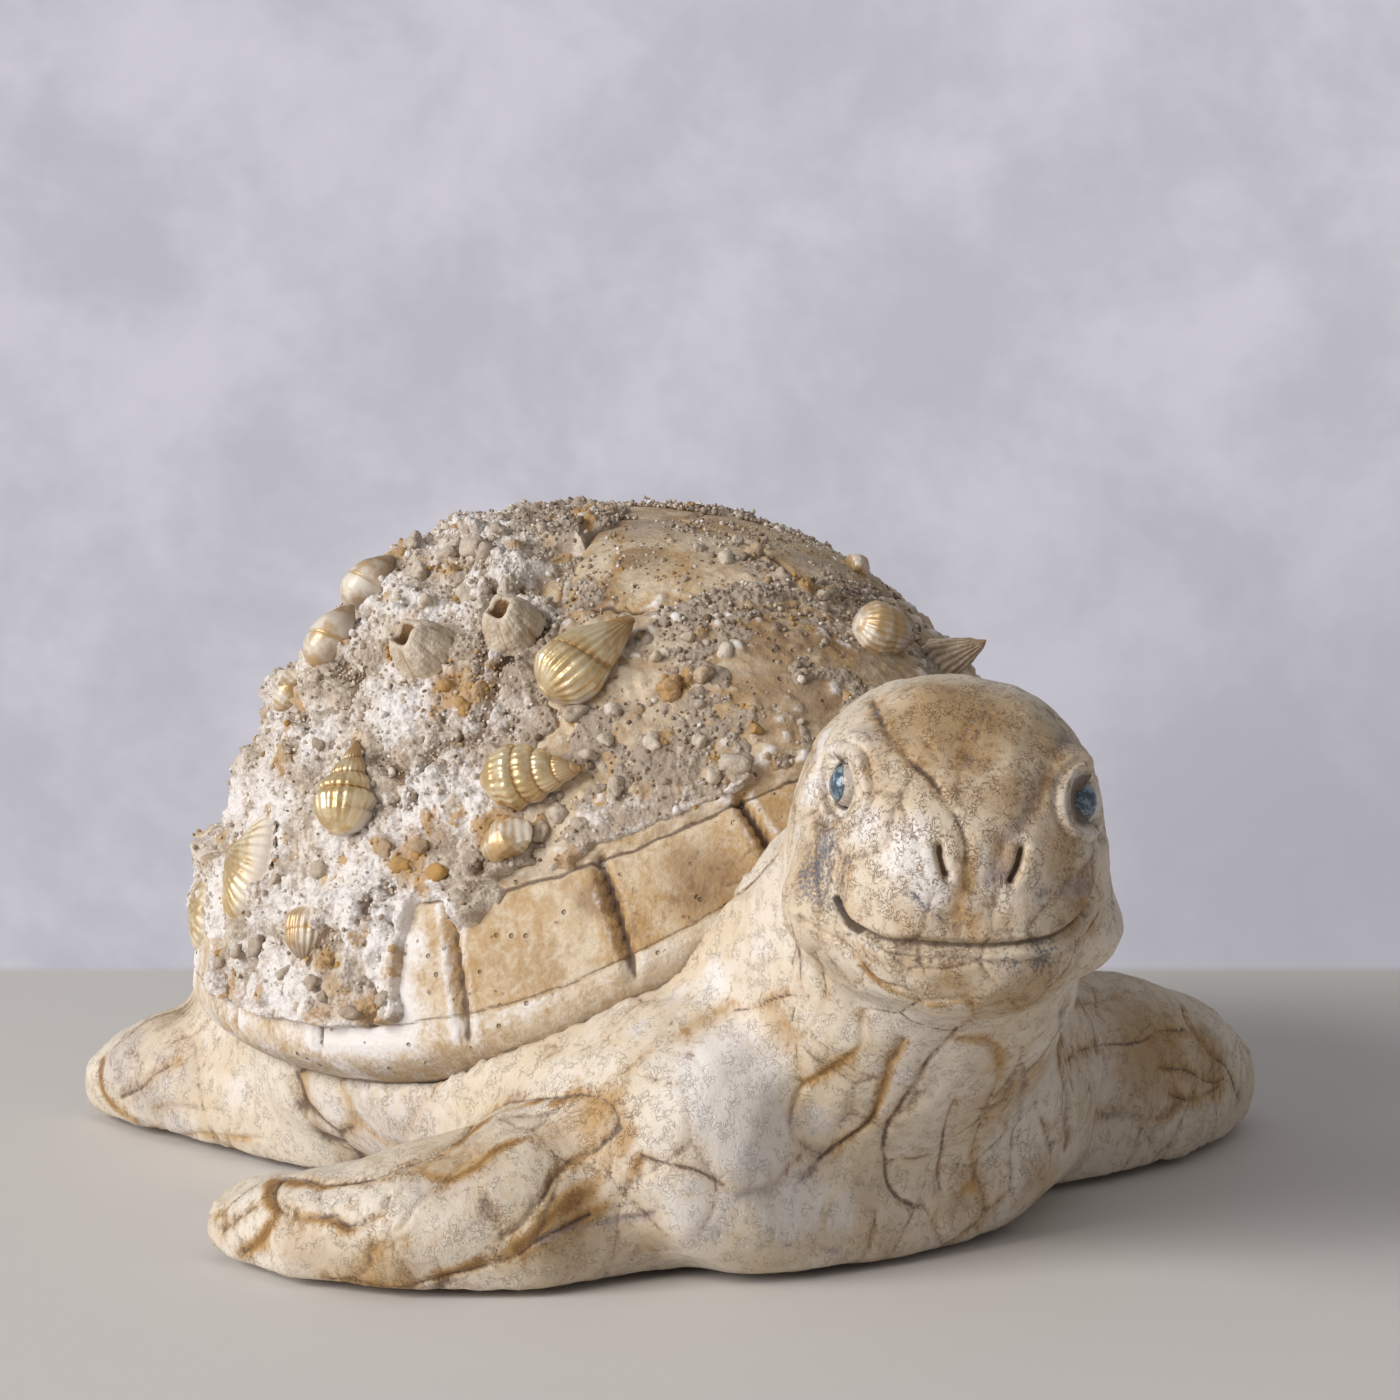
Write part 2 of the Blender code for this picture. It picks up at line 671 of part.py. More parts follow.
def carve_nostrils(body, tree):
    """Two upright slits that lean together at the top."""
    _, _, _, up = build_head_frame()
    for name, side in (("nostril_right", -1.0), ("nostril_left", 1.0)):
        place, out = head_hit(tree, side * NOSTRIL_ANGLE, NOSTRIL_LEVEL)
        lean = Matrix.Rotation(side * math.radians(NOSTRIL_LEAN), 3, out)
        tall = lean @ up
        axes = (tall.cross(out).normalized(), out, tall)
        radii = (NOSTRIL_WIDTH / 2.0, NOSTRIL_DEPTH, NOSTRIL_HEIGHT / 2.0)
        slit = ellipsoid(name, place, axes, radii, 10, 6)
        cut(body, make_cutter(add_object(name, slit)))


def carve_toes(body, tree):
    """Two gouged grooves over each flipper's tip, which part it in three blunt toes."""
    flippers = (
        ("front_right", RIGHT_FRONT_FLIPPER, -1.0), ("front_left", LEFT_FRONT_FLIPPER, 1.0),
        ("rear_right", REAR_FLIPPER, -1.0), ("rear_left", REAR_FLIPPER, 1.0),
    )
    for name, flipper, mirror in flippers:
        sections = flipper_sections(flipper, mirror)
        tip, root, half_chord = sections[-1][0], sections[-3][0], sections[-3][1]
        along = (tip - root).normalized()
        side = Vector((-along.y, along.x, 0.0))
        for index, offset in enumerate((-TOE_SPREAD, TOE_SPREAD)):
            above = (root + tip) / 2.0 + side * (offset * half_chord)
            above.z = SHELL_APEX_HEIGHT
            place, normal, _, _ = tree.ray_cast(above, Vector((0.0, 0.0, -1.0)))
            slope = (along - normal * along.dot(normal)).normalized()
            axes = (slope, normal.cross(slope), normal)
            radii = (TOE_GROOVE_LENGTH / 2.0, TOE_GROOVE_WIDTH / 2.0, TOE_GROOVE_DEPTH)
            label = f"toe_groove_{name}_{index}"
            middle = place + slope * (0.45 * TOE_GROOVE_LENGTH) + normal * TOE_GROOVE_RISE
            groove = ellipsoid(label, middle, axes, radii, 10, 6)
            cut(body, make_cutter(add_object(label, groove)))


def build_body(material, eye_material, clearance):
    """The body casting with its seat for the shell, its flat belly and its face."""
    body = melt_together(block_out_body(), "body_casting")
    body.data.materials.clear()
    body.data.materials.append(material)
    tree = surface_of(body)
    cut(body, clearance)
    carve_toes(body, tree)
    reach = 3.0 * SHELL_HALF_LENGTH
    floor = box_mesh("floor_cut", (-reach, -reach, -SEAT_HEIGHT), (reach, reach, BELLY_HEIGHT))
    cut(body, make_cutter(add_object("floor_cut", floor)))
    carve_eyes(body, tree, eye_material)
    carve_mouth(body, tree)
    carve_nostrils(body, tree)
    return body


def build_pads(material):
    """Four felt discs under the belly."""
    top = BELLY_HEIGHT - SEAT_GAP
    for name, across, along in (
        ("felt_pad_front_left", 1, -1), ("felt_pad_front_right", -1, -1),
        ("felt_pad_rear_left", 1, 1), ("felt_pad_rear_right", -1, 1),
    ):
        bm = bmesh.new()
        bmesh.ops.create_cone(bm, cap_ends=True, segments=18, radius1=PAD_RADIUS,
                              radius2=PAD_RADIUS, depth=top)
        mesh = bpy.data.meshes.new(name)
        bm.to_mesh(mesh)
        bm.free()
        pad = add_object(name, mesh, material)
        pad.location = (across * PAD_SPREAD_X, along * PAD_SPREAD_Y, top / 2.0)


def whorled_mesh(name, length, width, turns, bulge, columns=12, rings=15):
    """A coiled sea shell along +X: a rounded body whorl, then whorls that step up to the tip.

    The radius follows an outline, and swells between the sutures, which wind round the shell.
    """
    widest = 0.36
    points = []
    for ring in range(rings):
        share = 0.012 + 0.973 * (ring / (rings - 1)) ** 1.15
        if share < widest:
            outline = (1.0 - ((widest - share) / widest) ** 2) ** 0.5
        else:
            outline = ((1.0 - share) / (1.0 - widest)) ** 0.92
        for column in range(columns):
            angle = 2.0 * math.pi * column / columns
            coil = (turns * share**0.85 + 0.35 - angle / (2.0 * math.pi)) % 1.0
            swell = math.sin(math.pi * coil) ** 0.6 - 0.75
            radius = width / 2.0 * outline * (1.0 + bulge * swell)
            along = (share - 0.5) * length
            points.append(Vector((along, radius * math.cos(angle), radius * math.sin(angle))))
    points, faces = capped_rings(points, rings, columns)
    return mesh_from(name, points, faces)


def scallop_mesh(name, size, ribs=8):
    """A ribbed fan shell: its hinge at -X, its ribs spreading to +X over a domed back."""
    columns, rows = 2 * ribs + 1, 6
    points, faces = [], []
    for row in range(rows):
        s = 0.04 + 0.96 * row / (rows - 1)
        for column in range(columns):
            fan = math.radians(-68.0 + 136.0 * column / (columns - 1))
            reach = size * s * (0.80 + 0.20 * math.cos(fan * 1.2))
            arch = math.sqrt(max(0.0, 1.0 - (2.0 * s**0.85 - 0.9) ** 2)) * math.cos(fan * 0.95)
            rib = 0.022 * size * (1.0 if column % 2 else -1.0) * s
            points.append(Vector((
                reach * math.cos(fan) - size / 2.0, reach * math.sin(fan), 0.30 * size * arch + rib,
            )))
    for row in range(rows - 1):
        for column in range(columns - 1):
            a = row * columns + column
            faces.append((a, a + 1, a + columns + 1, a + columns))
    edge = list(range(columns))
    edge += [row * columns + columns - 1 for row in range(1, rows)]
    edge += [(rows - 1) * columns + column for column in range(columns - 2, -1, -1)]
    edge += [row * columns for row in range(rows - 2, 0, -1)]
    below = len(points)
    points += [Vector((points[corner].x, points[corner].y, -0.35 * size)) for corner in edge]
    for index, here in enumerate(edge):
        after = (index + 1) % len(edge)
        faces.append((here, below + index, below + after, edge[after]))
    faces.append(tuple(below + index for index in range(len(edge))))
    return mesh_from(name, points, faces)


def barnacle_mesh(name, size):
    """A crater cone of six plates, standing along +Z."""
    columns = 12
    profile = ((0.50, -0.35), (0.46, 0.0), (0.38, 0.22), (0.27, 0.38), (0.20, 0.36), (0.15, 0.10))
    points = []
    for radius, height in profile:
        for column in range(columns):
            angle = 2.0 * math.pi * column / columns
            plate = 1.0 + 0.06 * math.cos(6.0 * angle)
            points.append(Vector((
                size * radius * plate * math.cos(angle), size * radius * plate * math.sin(angle),
                size * height * (1.0 + 0.08 * math.sin(3.0 * angle)),
            )))
    points, faces = capped_rings(points, len(profile), columns)
    return mesh_from(name, points, faces)


def limpet_mesh(name, size):
    """A pointed cone along +Z with low ribs, whose tip leans over towards +X."""
    columns = 14
    profile = ((0.42, -0.35), (0.40, 0.0), (0.31, 0.24), (0.19, 0.50), (0.05, 0.74))
    points = []
    for radius, height in profile:
        for column in range(columns):
            angle = 2.0 * math.pi * column / columns
            rib = 1.0 + 0.05 * (-1.0) ** column
            points.append(Vector((
                size * (radius * rib * math.cos(angle) + LIMPET_LEAN * max(height, 0.0)),
                size * radius * rib * math.sin(angle), size * height,
            )))
    points, faces = capped_rings(points, len(profile), columns)
    return mesh_from(name, points, faces)


def chip_mesh(name, size, seed):
    """A broken piece of shell: the hull of a few points on a squashed ball."""
    spread = np.random.default_rng(seed).normal(size=(14, 3))
    spread /= np.linalg.norm(spread, axis=1)[:, None]
    spread *= np.array([0.5, 0.32, 0.30]) * size
    bm = bmesh.new()
    for point in spread:
        bm.verts.new(point)
    made = bmesh.ops.convex_hull(bm, input=bm.verts)
    inside = [v for v in made["geom_interior"] if isinstance(v, bmesh.types.BMVert)]
    bmesh.ops.delete(bm, geom=inside, context="VERTS")
    bmesh.ops.recalc_face_normals(bm, faces=bm.faces)
    mesh = bpy.data.meshes.new(name)
    bm.to_mesh(mesh)
    bm.free()
    return mesh


# Ornaments on the shell: name, form, place (angle from the front, share of the way out),
# the place it points to, length, width and how far its middle stands off the dome, in mm.
ORNAMENTS = (
    ("spire_shell_1", "spire", (-45.5, 0.68), (-34, 0.61), 20.5, 12.5, 1.6),
    ("spire_shell_2", "spire", (-52, 0.83), (-40, 0.845), 18.5, 11.5, 1.6),
    ("spire_shell_3", "spire", (-82, 0.835), (-86, 0.70), 17.5, 11.0, 1.6),
    ("spire_shell_4", "spire", (84, 0.66), (72, 0.56), 18.0, 11.0, 1.2),
    ("spire_shell_5", "spire", (168, 0.78), (150, 0.66), 18.0, 11.0, 1.2),
    ("olive_shell_1", "olive", (-110, 0.665), (-113, 0.50), 13.5, 8.0, 1.2),
    ("olive_shell_2", "olive", (-117, 0.565), (-121, 0.40), 12.5, 8.0, 1.2),
    ("limpet_shell_1", "limpet", (19, 0.78), (32, 0.95), 9.5, 9.5, 0.8),
    ("olive_shell_3", "olive", (136, 0.66), (118, 0.56), 13.0, 8.0, 0.4),
    ("scallop_shell_1", "scallop", (-102, 0.92), (-86, 0.95), 15.0, 15.0, 1.2),
    ("scallop_shell_2", "scallop", (-118, 0.96), (-102, 0.97), 13.0, 13.0, 0.8),
    ("scallop_shell_3", "scallop", (104, 0.84), (96, 0.60), 15.0, 15.0, 0.0),
    ("moon_shell_1", "moon", (-85, 0.95), (-84, 1.0), 10.0, 9.0, 1.2),
    ("moon_shell_2", "moon", (6, 0.745), (18, 0.81), 11.0, 9.8, 1.2),
    ("moon_shell_3", "moon", (82, 0.90), (90, 0.98), 10.0, 9.0, 1.2),
    ("barnacle_1", "barnacle", (-62, 0.61), (-64, 0.50), 10.5, 10.5, 1.6),
    ("barnacle_2", "barnacle", (-80, 0.655), (-84, 0.52), 11.0, 11.0, 1.4),
    ("barnacle_3", "barnacle", (118, 0.58), (118, 0.46), 10.0, 10.0, 1.4),
    ("shell_chip_1", "chip", (-55, 0.89), (-45, 0.885), 11.5, 6.0, 1.4),
    ("shell_chip_2", "chip", (33, 0.52), (50, 0.50), 7.0, 6.0, 1.4),
    ("shell_chip_3", "chip", (-116, 0.75), (-116, 0.60), 10.0, 6.0, 0.4),
)


def ornament_mesh(name, form, length, width, seed):
    """The mesh of one ornament along +X, its back towards +Z."""
    if form == "spire":
        return whorled_mesh(name, length, width, turns=3.4, bulge=0.20)
    if form == "olive":
        return whorled_mesh(name, length, width, turns=2.2, bulge=0.12, rings=10)
    if form == "moon":
        return whorled_mesh(name, length, width, turns=2.4, bulge=0.16, rings=9)
    if form == "scallop":
        return scallop_mesh(name, length)
    if form == "barnacle":
        return barnacle_mesh(name, length)
    if form == "limpet":
        return limpet_mesh(name, length)
    return chip_mesh(name, length, seed)


def build_ornaments(materials, clearance):
    """Sea shells set on the dome, each cut to the crust that it sits on."""
    for seed, (name, form, place, target, length, width, stand) in enumerate(ORNAMENTS):
        mesh = ornament_mesh(name, form, length * MM, width * MM, seed)
        here, up = dome_point(*place), dome_normal(*place)
        ahead = dome_point(target[0], min(target[1], 0.99)) - here
        ahead = (ahead - up * ahead.dot(up)).normalized()
        across = up.cross(ahead)
        matrix = Matrix((ahead, across, up)).transposed().to_4x4()
        lift = stand * MM + crust_cover(*place) * (CRUST_THICKNESS + CLOD_HEIGHT * 0.3)
        matrix.translation = here + up * lift
        mesh.transform(matrix)
        ornament = add_object(name, mesh, materials[form])
        cut(ornament, clearance)


def move_origin_under_middle():
    """Shifts everything so that the origin is under the middle of the bounding box."""
    graph = bpy.context.evaluated_depsgraph_get()
    shown = [obj for obj in bpy.data.objects if obj.type == "MESH" and not obj.hide_render]
    corners = []
    for obj in shown:
        made = obj.evaluated_get(graph)
        mesh = made.to_mesh()
        corners += [obj.matrix_world @ vertex.co for vertex in mesh.vertices]
        made.to_mesh_clear()
    points = np.array(corners)
    low, high = points.min(axis=0), points.max(axis=0)
    shift = Vector((-(low[0] + high[0]) / 2.0, -(low[1] + high[1]) / 2.0, -low[2]))
    for obj in bpy.data.objects:
        obj.location += shift
    print("shift", tuple(round(value, 5) for value in shift))
    print("size", tuple(round(value, 5) for value in high - low))


def main():
    """Builds the figurine."""
    clear_scene()
    wood_look = finish("carved_resin", (0.66, 0.53, 0.36), 0.55)
    shell_look = finish("shell_resin", (0.70, 0.62, 0.50), 0.75)
    gold = finish("gold_paint", (0.72, 0.55, 0.28), 0.32, 0.8)
    pearl = finish("ivory_gold", (0.74, 0.62, 0.44), 0.4, 0.3)
    lime = finish("lime_crust", (0.68, 0.60, 0.50), 0.85)
    blue = finish("blue_glass", (0.16, 0.24, 0.32), 0.12)
    felt = finish("felt", (0.12, 0.11, 0.10), 0.95)
    clearance = make_cutter(add_object("shell_clearance", shell_mesh("shell_clearance", SEAT_GAP)))
    build_body(wood_look, blue, clearance)
    add_object("carapace", shell_mesh("carapace"), shell_look)
    build_ornaments({
        "spire": gold, "scallop": gold, "moon": gold, "olive": pearl,
        "barnacle": lime, "limpet": lime, "chip": pearl,
    }, clearance)
    build_pads(felt)
    bpy.context.view_layer.update()
    move_origin_under_middle()


main()
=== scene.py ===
"""Looks of the turtle figurine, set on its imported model.

The casting's carved skin, the shell's plates, the sand crust with its grit, the sea shells, the
eyes and the felt pads are surfaces worked out with numpy. All lengths are in metres.
"""
import math

import bmesh
import bpy
import numpy as np
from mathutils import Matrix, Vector
from mathutils.bvhtree import BVHTree


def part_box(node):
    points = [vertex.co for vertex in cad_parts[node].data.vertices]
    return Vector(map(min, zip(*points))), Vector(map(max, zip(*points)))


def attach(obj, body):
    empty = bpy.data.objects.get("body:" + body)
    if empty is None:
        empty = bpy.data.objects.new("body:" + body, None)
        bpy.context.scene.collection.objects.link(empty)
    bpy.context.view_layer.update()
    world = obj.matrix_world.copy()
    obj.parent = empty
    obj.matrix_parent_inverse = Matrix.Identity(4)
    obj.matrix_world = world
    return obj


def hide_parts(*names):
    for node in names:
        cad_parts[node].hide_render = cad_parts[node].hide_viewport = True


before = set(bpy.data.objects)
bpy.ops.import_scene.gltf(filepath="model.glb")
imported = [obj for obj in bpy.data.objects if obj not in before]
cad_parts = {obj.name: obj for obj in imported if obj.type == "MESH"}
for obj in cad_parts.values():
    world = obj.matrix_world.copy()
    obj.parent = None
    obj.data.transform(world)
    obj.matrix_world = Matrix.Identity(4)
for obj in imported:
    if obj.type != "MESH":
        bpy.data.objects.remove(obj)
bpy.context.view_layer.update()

MM = 0.001

# Camera: the picture's frame is 1400 pixels wide, and its focal length is given in those pixels.
FRAME_PIXELS = 1400
FOCAL_PIXELS = 5000.0
SENSOR_MM = 36.0
CAMERA_PLACE = np.array((-0.53003, -0.73086, 0.2136))
CAMERA_TURN = math.radians(36.0)
CAMERA_DIP = math.radians(8.0)
# Metres that one pixel spans on the shell and on the casting, and from the camera to the eyes.
PIXEL_ON_SHELL = 0.000178
PIXEL_ON_BODY = 0.000165
EYE_DISTANCE = 0.93

# The shell, in the same sizes as the solids.
SHELL_MIDDLE = np.array((-0.00054, 0.01971, 0.0))
HALF_LENGTH = 0.089
HALF_WIDTH = 0.078
APEX_HEIGHT = 0.1198
RIM_HEIGHT_SIDE = 0.0265
RIM_LIFT_OVER_NECK = 0.044
RIM_LIFT_SPREAD = 46.0
RIM_LIFT_OVER_TAIL = 0.006
DOME_FULLNESS = 2.6
DOME_ROUNDING = 0.72
BAND_SHARE = 0.925
BAND_STEP = 0.0016
LIP_DEPTH_FRONT = 0.0095
LIP_DEPTH_REAR = 0.0035
LIP_INSET = 0.006
SEAT_HEIGHT = 0.030
CRUST_THICKNESS = 0.0018
CLOD_COUNT = 80
CLOD_REACH = 0.93
CLOD_RADIUS = 0.0100
CLOD_HEIGHT = 0.0038
GOLDEN_SHARE = (math.sqrt(5.0) - 1.0) / 2.0
# Metres of slope for a whole share at the marginal band, and the rim's mean radius.
SLOPE_LENGTH = 0.16
RIM_RADIUS = 0.083
EYE_RADIUS = 0.0037


# Numbers: noise and small curves.

def ramp(low, high, value):
    """0 below low, 1 above high and an even ease between, for whole arrays."""
    t = np.clip((value - low) / (high - low), 0.0, 1.0)
    return t * t * (3.0 - 2.0 * t)


def fall(low, high, value):
    """1 below low, 0 above high and an even ease between."""
    return 1.0 - ramp(low, high, value)


def bell(value, width):
    """1 where a value is 0, falling off to both sides as exp(-(value / width)^2)."""
    return np.exp(-((value / width) ** 2))


def wrapped(angle):
    """An angle in degrees, brought between -180 and 180."""
    return (angle + 180.0) % 360.0 - 180.0


def scattered(cell, seed):
    """A fixed number from 0 to 1 for each whole-number place: its digits are stirred by products."""
    mixed = cell[..., 0] * 73856093 ^ cell[..., 1] * 19349663 ^ cell[..., 2] * 83492791 ^ seed * 265443
    mixed = mixed & 0xFFFFFFFF
    for factor in (73244475, 295559667):
        mixed = ((mixed ^ (mixed >> 15)) * factor) & 0xFFFFFFFF
    return (mixed ^ (mixed >> 16)) / 4294967295.0


def noise(points, size, seed):
    """Smooth noise from -1 to 1: corner values of a grid of cells, eased between the eight corners."""
    scaled = points / size + 100.0
    low = np.floor(scaled).astype(np.int64)
    part = scaled - low
    part = part * part * (3.0 - 2.0 * part)
    total = np.zeros(points.shape[:-1])
    for corner in np.ndindex(2, 2, 2):
        weight = np.prod(np.where(np.array(corner) == 1, part, 1.0 - part), axis=-1)
        total += weight * scattered(low + np.array(corner), seed)
    return 2.0 * total - 1.0


def layered(points, size, layers, seed):
    """Noise plus itself at half the size and half the strength, layer after layer."""
    total, strength, reach = 0.0, 1.0, 0.0
    for layer in range(layers):
        total = total + strength * noise(points, size / 2**layer, seed + layer)
        reach += strength
        strength *= 0.5
    return total / reach


def shifts(points, size, seed):
    """Three noises as a shift along each axis."""
    return np.stack([noise(points, size, seed + axis) for axis in range(3)], axis=-1)


def pebbled(points, size, seed):
    """For each point the distance to the nearest and second nearest of points scattered one to a
    cell, both in cell sizes, and a number from 0 to 1 that names the nearest."""
    scaled = points / size + 100.0
    low = np.floor(scaled).astype(np.int64)
    nearest = np.full(points.shape[:-1], 9.0)
    second = np.full(points.shape[:-1], 9.0)
    name = np.zeros(points.shape[:-1])
    for offset in np.ndindex(3, 3, 3):
        cell = low + np.array(offset) - 1
        place = np.stack([scattered(cell, seed + axis) for axis in range(3)], axis=-1)
        away = np.linalg.norm(cell + place - scaled, axis=-1)
        closer = away < nearest
        second = np.where(closer, nearest, np.minimum(second, away))
        name = np.where(closer, scattered(cell, seed + 3), name)
        nearest = np.minimum(nearest, away)
    return nearest, second, name


def unit(vectors):
    """Vectors at length one."""
    return vectors / np.maximum(np.linalg.norm(vectors, axis=-1, keepdims=True), 1e-12)


# Meshes.

def corner_normals(points, faces):
    """The normal at each point: the sum of its faces' normals by area."""
    a, b, c = (points[faces[:, k]] for k in range(3))
    flat = np.cross(b - a, c - a)
    total = np.stack([
        sum(np.bincount(faces[:, k], flat[:, axis], len(points)) for k in range(3)) for axis in range(3)
    ], axis=-1)
    return unit(total)


def edges_of(faces, count):
    """Each edge once, and the numbers of every face's edges 01, 12 and 20."""
    pairs = np.sort(np.stack([faces, np.roll(faces, -1, axis=1)], axis=-1), axis=-1)
    keys, places = np.unique(pairs[..., 0] * count + pairs[..., 1], return_inverse=True)
    return np.stack([keys // count, keys % count], axis=1), places.reshape(-1, 3)


def relaxed(points, faces, rounds):
    """Smoothing that keeps the volume: towards the neighbours' mean, then a little more away."""
    edges, _ = edges_of(faces, len(points))
    ends = np.concatenate([edges, edges[:, ::-1]])
    shares = np.bincount(ends[:, 0], minlength=len(points))[:, None]
    for _ in range(rounds):
        for amount in (0.5, -0.52):
            mean = np.stack([
                np.bincount(ends[:, 0], points[ends[:, 1], axis], len(points)) for axis in range(3)
            ], axis=-1) / shares
            points = points + amount * (mean - points)
    return points


def split_long(points, faces, wanted):
    """Splits each edge longer than wanted(middle, normal), and each face by its split edges.

    A new point lies between the edge's middle and its mean projection on the end points' planes.
    """
    edges, sides = edges_of(faces, len(points))
    normals = corner_normals(points, faces)
    first, last = points[edges[:, 0]], points[edges[:, 1]]
    middle = (first + last) / 2.0
    half = (last - first) / 2.0
    lift_first = -np.sum(half * normals[edges[:, 0]], axis=1, keepdims=True) * normals[edges[:, 0]]
    lift_last = np.sum(half * normals[edges[:, 1]], axis=1, keepdims=True) * normals[edges[:, 1]]
    middle += 0.75 * 0.5 * (lift_first + lift_last)
    mean_normals = unit(normals[edges[:, 0]] + normals[edges[:, 1]])
    split = 2.0 * np.linalg.norm(half, axis=1) > wanted(middle, mean_normals)
    number = np.full(len(edges), -1)
    number[split] = len(points) + np.arange(split.sum())
    cut = number[sides]
    marks = cut >= 0
    count = marks.sum(axis=1)
    turn = np.where(count == 1, np.argmax(marks, axis=1), (np.argmin(marks, axis=1) + 1) % 3)
    order = (np.arange(3)[None] + turn[:, None]) % 3
    faces = np.take_along_axis(faces, order, axis=1)
    cut = np.take_along_axis(cut, order, axis=1)
    (a, b, c), (p, q, r) = faces.T, cut.T
    parts = [faces[count == 0]]
    for kept, corners in (
        (count == 1, ((a, p, c), (p, b, c))),
        (count == 2, ((p, b, q), (a, p, q), (a, q, c))),
        (count == 3, ((a, p, r), (p, b, q), (r, q, c), (p, q, r))),
    ):
        parts += [np.stack(corner, axis=1)[kept] for corner in corners]
    return np.concatenate([points, middle[split]]), np.concatenate(parts)


def grid_faces(rows, columns):
    """Triangles of a grid of rows and columns whose columns meet round the back."""
    row, column = np.meshgrid(np.arange(rows - 1), np.arange(columns), indexing="ij")
    after = (column + 1) % columns
    a, b = row * columns + column, row * columns + after
    c, d = a + columns, b + columns
    return np.concatenate([np.stack([a, c, d], axis=-1), np.stack([a, d, b], axis=-1)]).reshape(-1, 3)


def ring_grid(rows, columns):
    """Shares along a turned form, from 0 to 1, and angles round it, as a grid of rings."""
    angles = np.linspace(0.0, 2.0 * np.pi, columns + 1)[:-1]
    return np.meshgrid(np.linspace(0.0, 1.0, rows), angles, indexing="ij")


def with_ends(value):
    """A value on closed rings, with those of the two middle points that close them."""
    return np.concatenate([value.ravel(), value[0, :1], value[-1, :1]])


def sheet_values(value, few):
    """A value on a closed sheet: on its top, on a few columns again for its underside, and on
    the two middle points."""
    value = np.concatenate([value, value[:, few]], axis=1).ravel()
    return np.concatenate([value, value[:1], value[-1:]])


def closed_rings(rings):
    """Points and triangles of rings of equal count, each end closed to its middle point."""
    rows, columns = rings.shape[:2]
    points = np.concatenate([rings.reshape(-1, 3), rings[0].mean(0)[None], rings[-1].mean(0)[None]])
    column = np.arange(columns)
    after = (column + 1) % columns
    top, end = rows * columns, rows * columns + 1
    last = (rows - 1) * columns
    caps = [
        np.stack([np.full(columns, top), column, after], axis=1),
        np.stack([np.full(columns, end), last + after, last + column], axis=1),
    ]
    return points, np.concatenate([grid_faces(rows, columns)] + caps)


def outward(points, faces):
    """The faces turned so that the closed surface's volume is positive."""
    a, b, c = (points[faces[:, k]] for k in range(3))
    volume = np.sum(a * np.cross(b, c))
    return faces if volume > 0.0 else faces[:, ::-1]


def make_piece(name, points, faces, nodes, material, values=None):
    """A smooth mesh object that rides on the figurine and stands for the given CAD nodes."""
    faces = outward(points, faces)
    mesh = bpy.data.meshes.new(name)
    mesh.vertices.add(len(points))
    mesh.vertices.foreach_set("co", points.astype(np.float32).ravel())
    mesh.loops.add(faces.size)
    mesh.loops.foreach_set("vertex_index", faces.astype(np.int32).ravel())
    mesh.polygons.add(len(faces))
    mesh.polygons.foreach_set("loop_start", np.arange(0, faces.size, 3, dtype=np.int32))
    mesh.polygons.foreach_set("use_smooth", np.ones(len(faces), dtype=bool))
    mesh.update(calc_edges=True)
    mesh.validate()
    for key, value in (values or {}).items():
        layer = mesh.attributes.new(key, "FLOAT", "POINT")
        layer.data.foreach_set("value", np.asarray(value, dtype=np.float32))
    mesh.materials.append(material)
    piece = bpy.data.objects.new(name, mesh)
    bpy.context.scene.collection.objects.link(piece)
    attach(piece, "root")
    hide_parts(*nodes)
    return piece


# The picture's sight lines.

LOOK_AHEAD = np.array((math.sin(CAMERA_TURN), math.cos(CAMERA_TURN), 0.0))
LOOK_RIGHT = np.array((math.cos(CAMERA_TURN), -math.sin(CAMERA_TURN), 0.0))
LOOK_UP = np.array((0.0, 0.0, 1.0))
# How many steps a curve takes between two traced places.
CURVE_STEPS = 4


def sight_lines(pixels):
    """Directions out of the camera through places of the 1400-pixel frame."""
    across = (pixels[:, 0:1] - FRAME_PIXELS / 2) / FOCAL_PIXELS
    down = (pixels[:, 1:2] - FRAME_PIXELS / 2) / FOCAL_PIXELS
    away = math.cos(CAMERA_DIP) - down * math.sin(CAMERA_DIP)
    drop = math.sin(CAMERA_DIP) + down * math.cos(CAMERA_DIP)
    return unit(across * LOOK_RIGHT + away * LOOK_AHEAD - drop * LOOK_UP)


def to_pixels(points):
    """Places of points in the 1400-pixel frame."""
    out = points - CAMERA_PLACE
    away, drop = out @ LOOK_AHEAD, -(out @ LOOK_UP)
    depth = away * math.cos(CAMERA_DIP) + drop * math.sin(CAMERA_DIP)
    down = drop * math.cos(CAMERA_DIP) - away * math.sin(CAMERA_DIP)
    return FRAME_PIXELS / 2 + FOCAL_PIXELS * np.stack([out @ LOOK_RIGHT / depth, down / depth], axis=-1)


def facing(points, normals):
    """How squarely each point faces the camera, from -1 to 1."""
    return np.sum(unit(CAMERA_PLACE - points) * normals, axis=-1)


def curved(pixels):
    """A smooth path through traced places: Catmull-Rom curves between them."""
    if len(pixels) < 3:
        share = np.linspace(0.0, 1.0, 2 * CURVE_STEPS + 1)[:, None]
        return pixels[0] * (1.0 - share) + pixels[-1] * share
    padded = np.concatenate([2 * pixels[:1] - pixels[1:2], pixels, 2 * pixels[-1:] - pixels[-2:-1]])
    a, b, c, d = (padded[k:len(padded) - 3 + k, None] for k in range(4))
    t = (np.arange(CURVE_STEPS) / CURVE_STEPS)[None, :, None]
    square, cube = 2 * a - 5 * b + 4 * c - d, 3 * b - a - 3 * c + d
    curve = 0.5 * (2 * b + (c - a) * t + square * t**2 + cube * t**3)
    return np.concatenate([curve.reshape(-1, 2), pixels[-1:]])


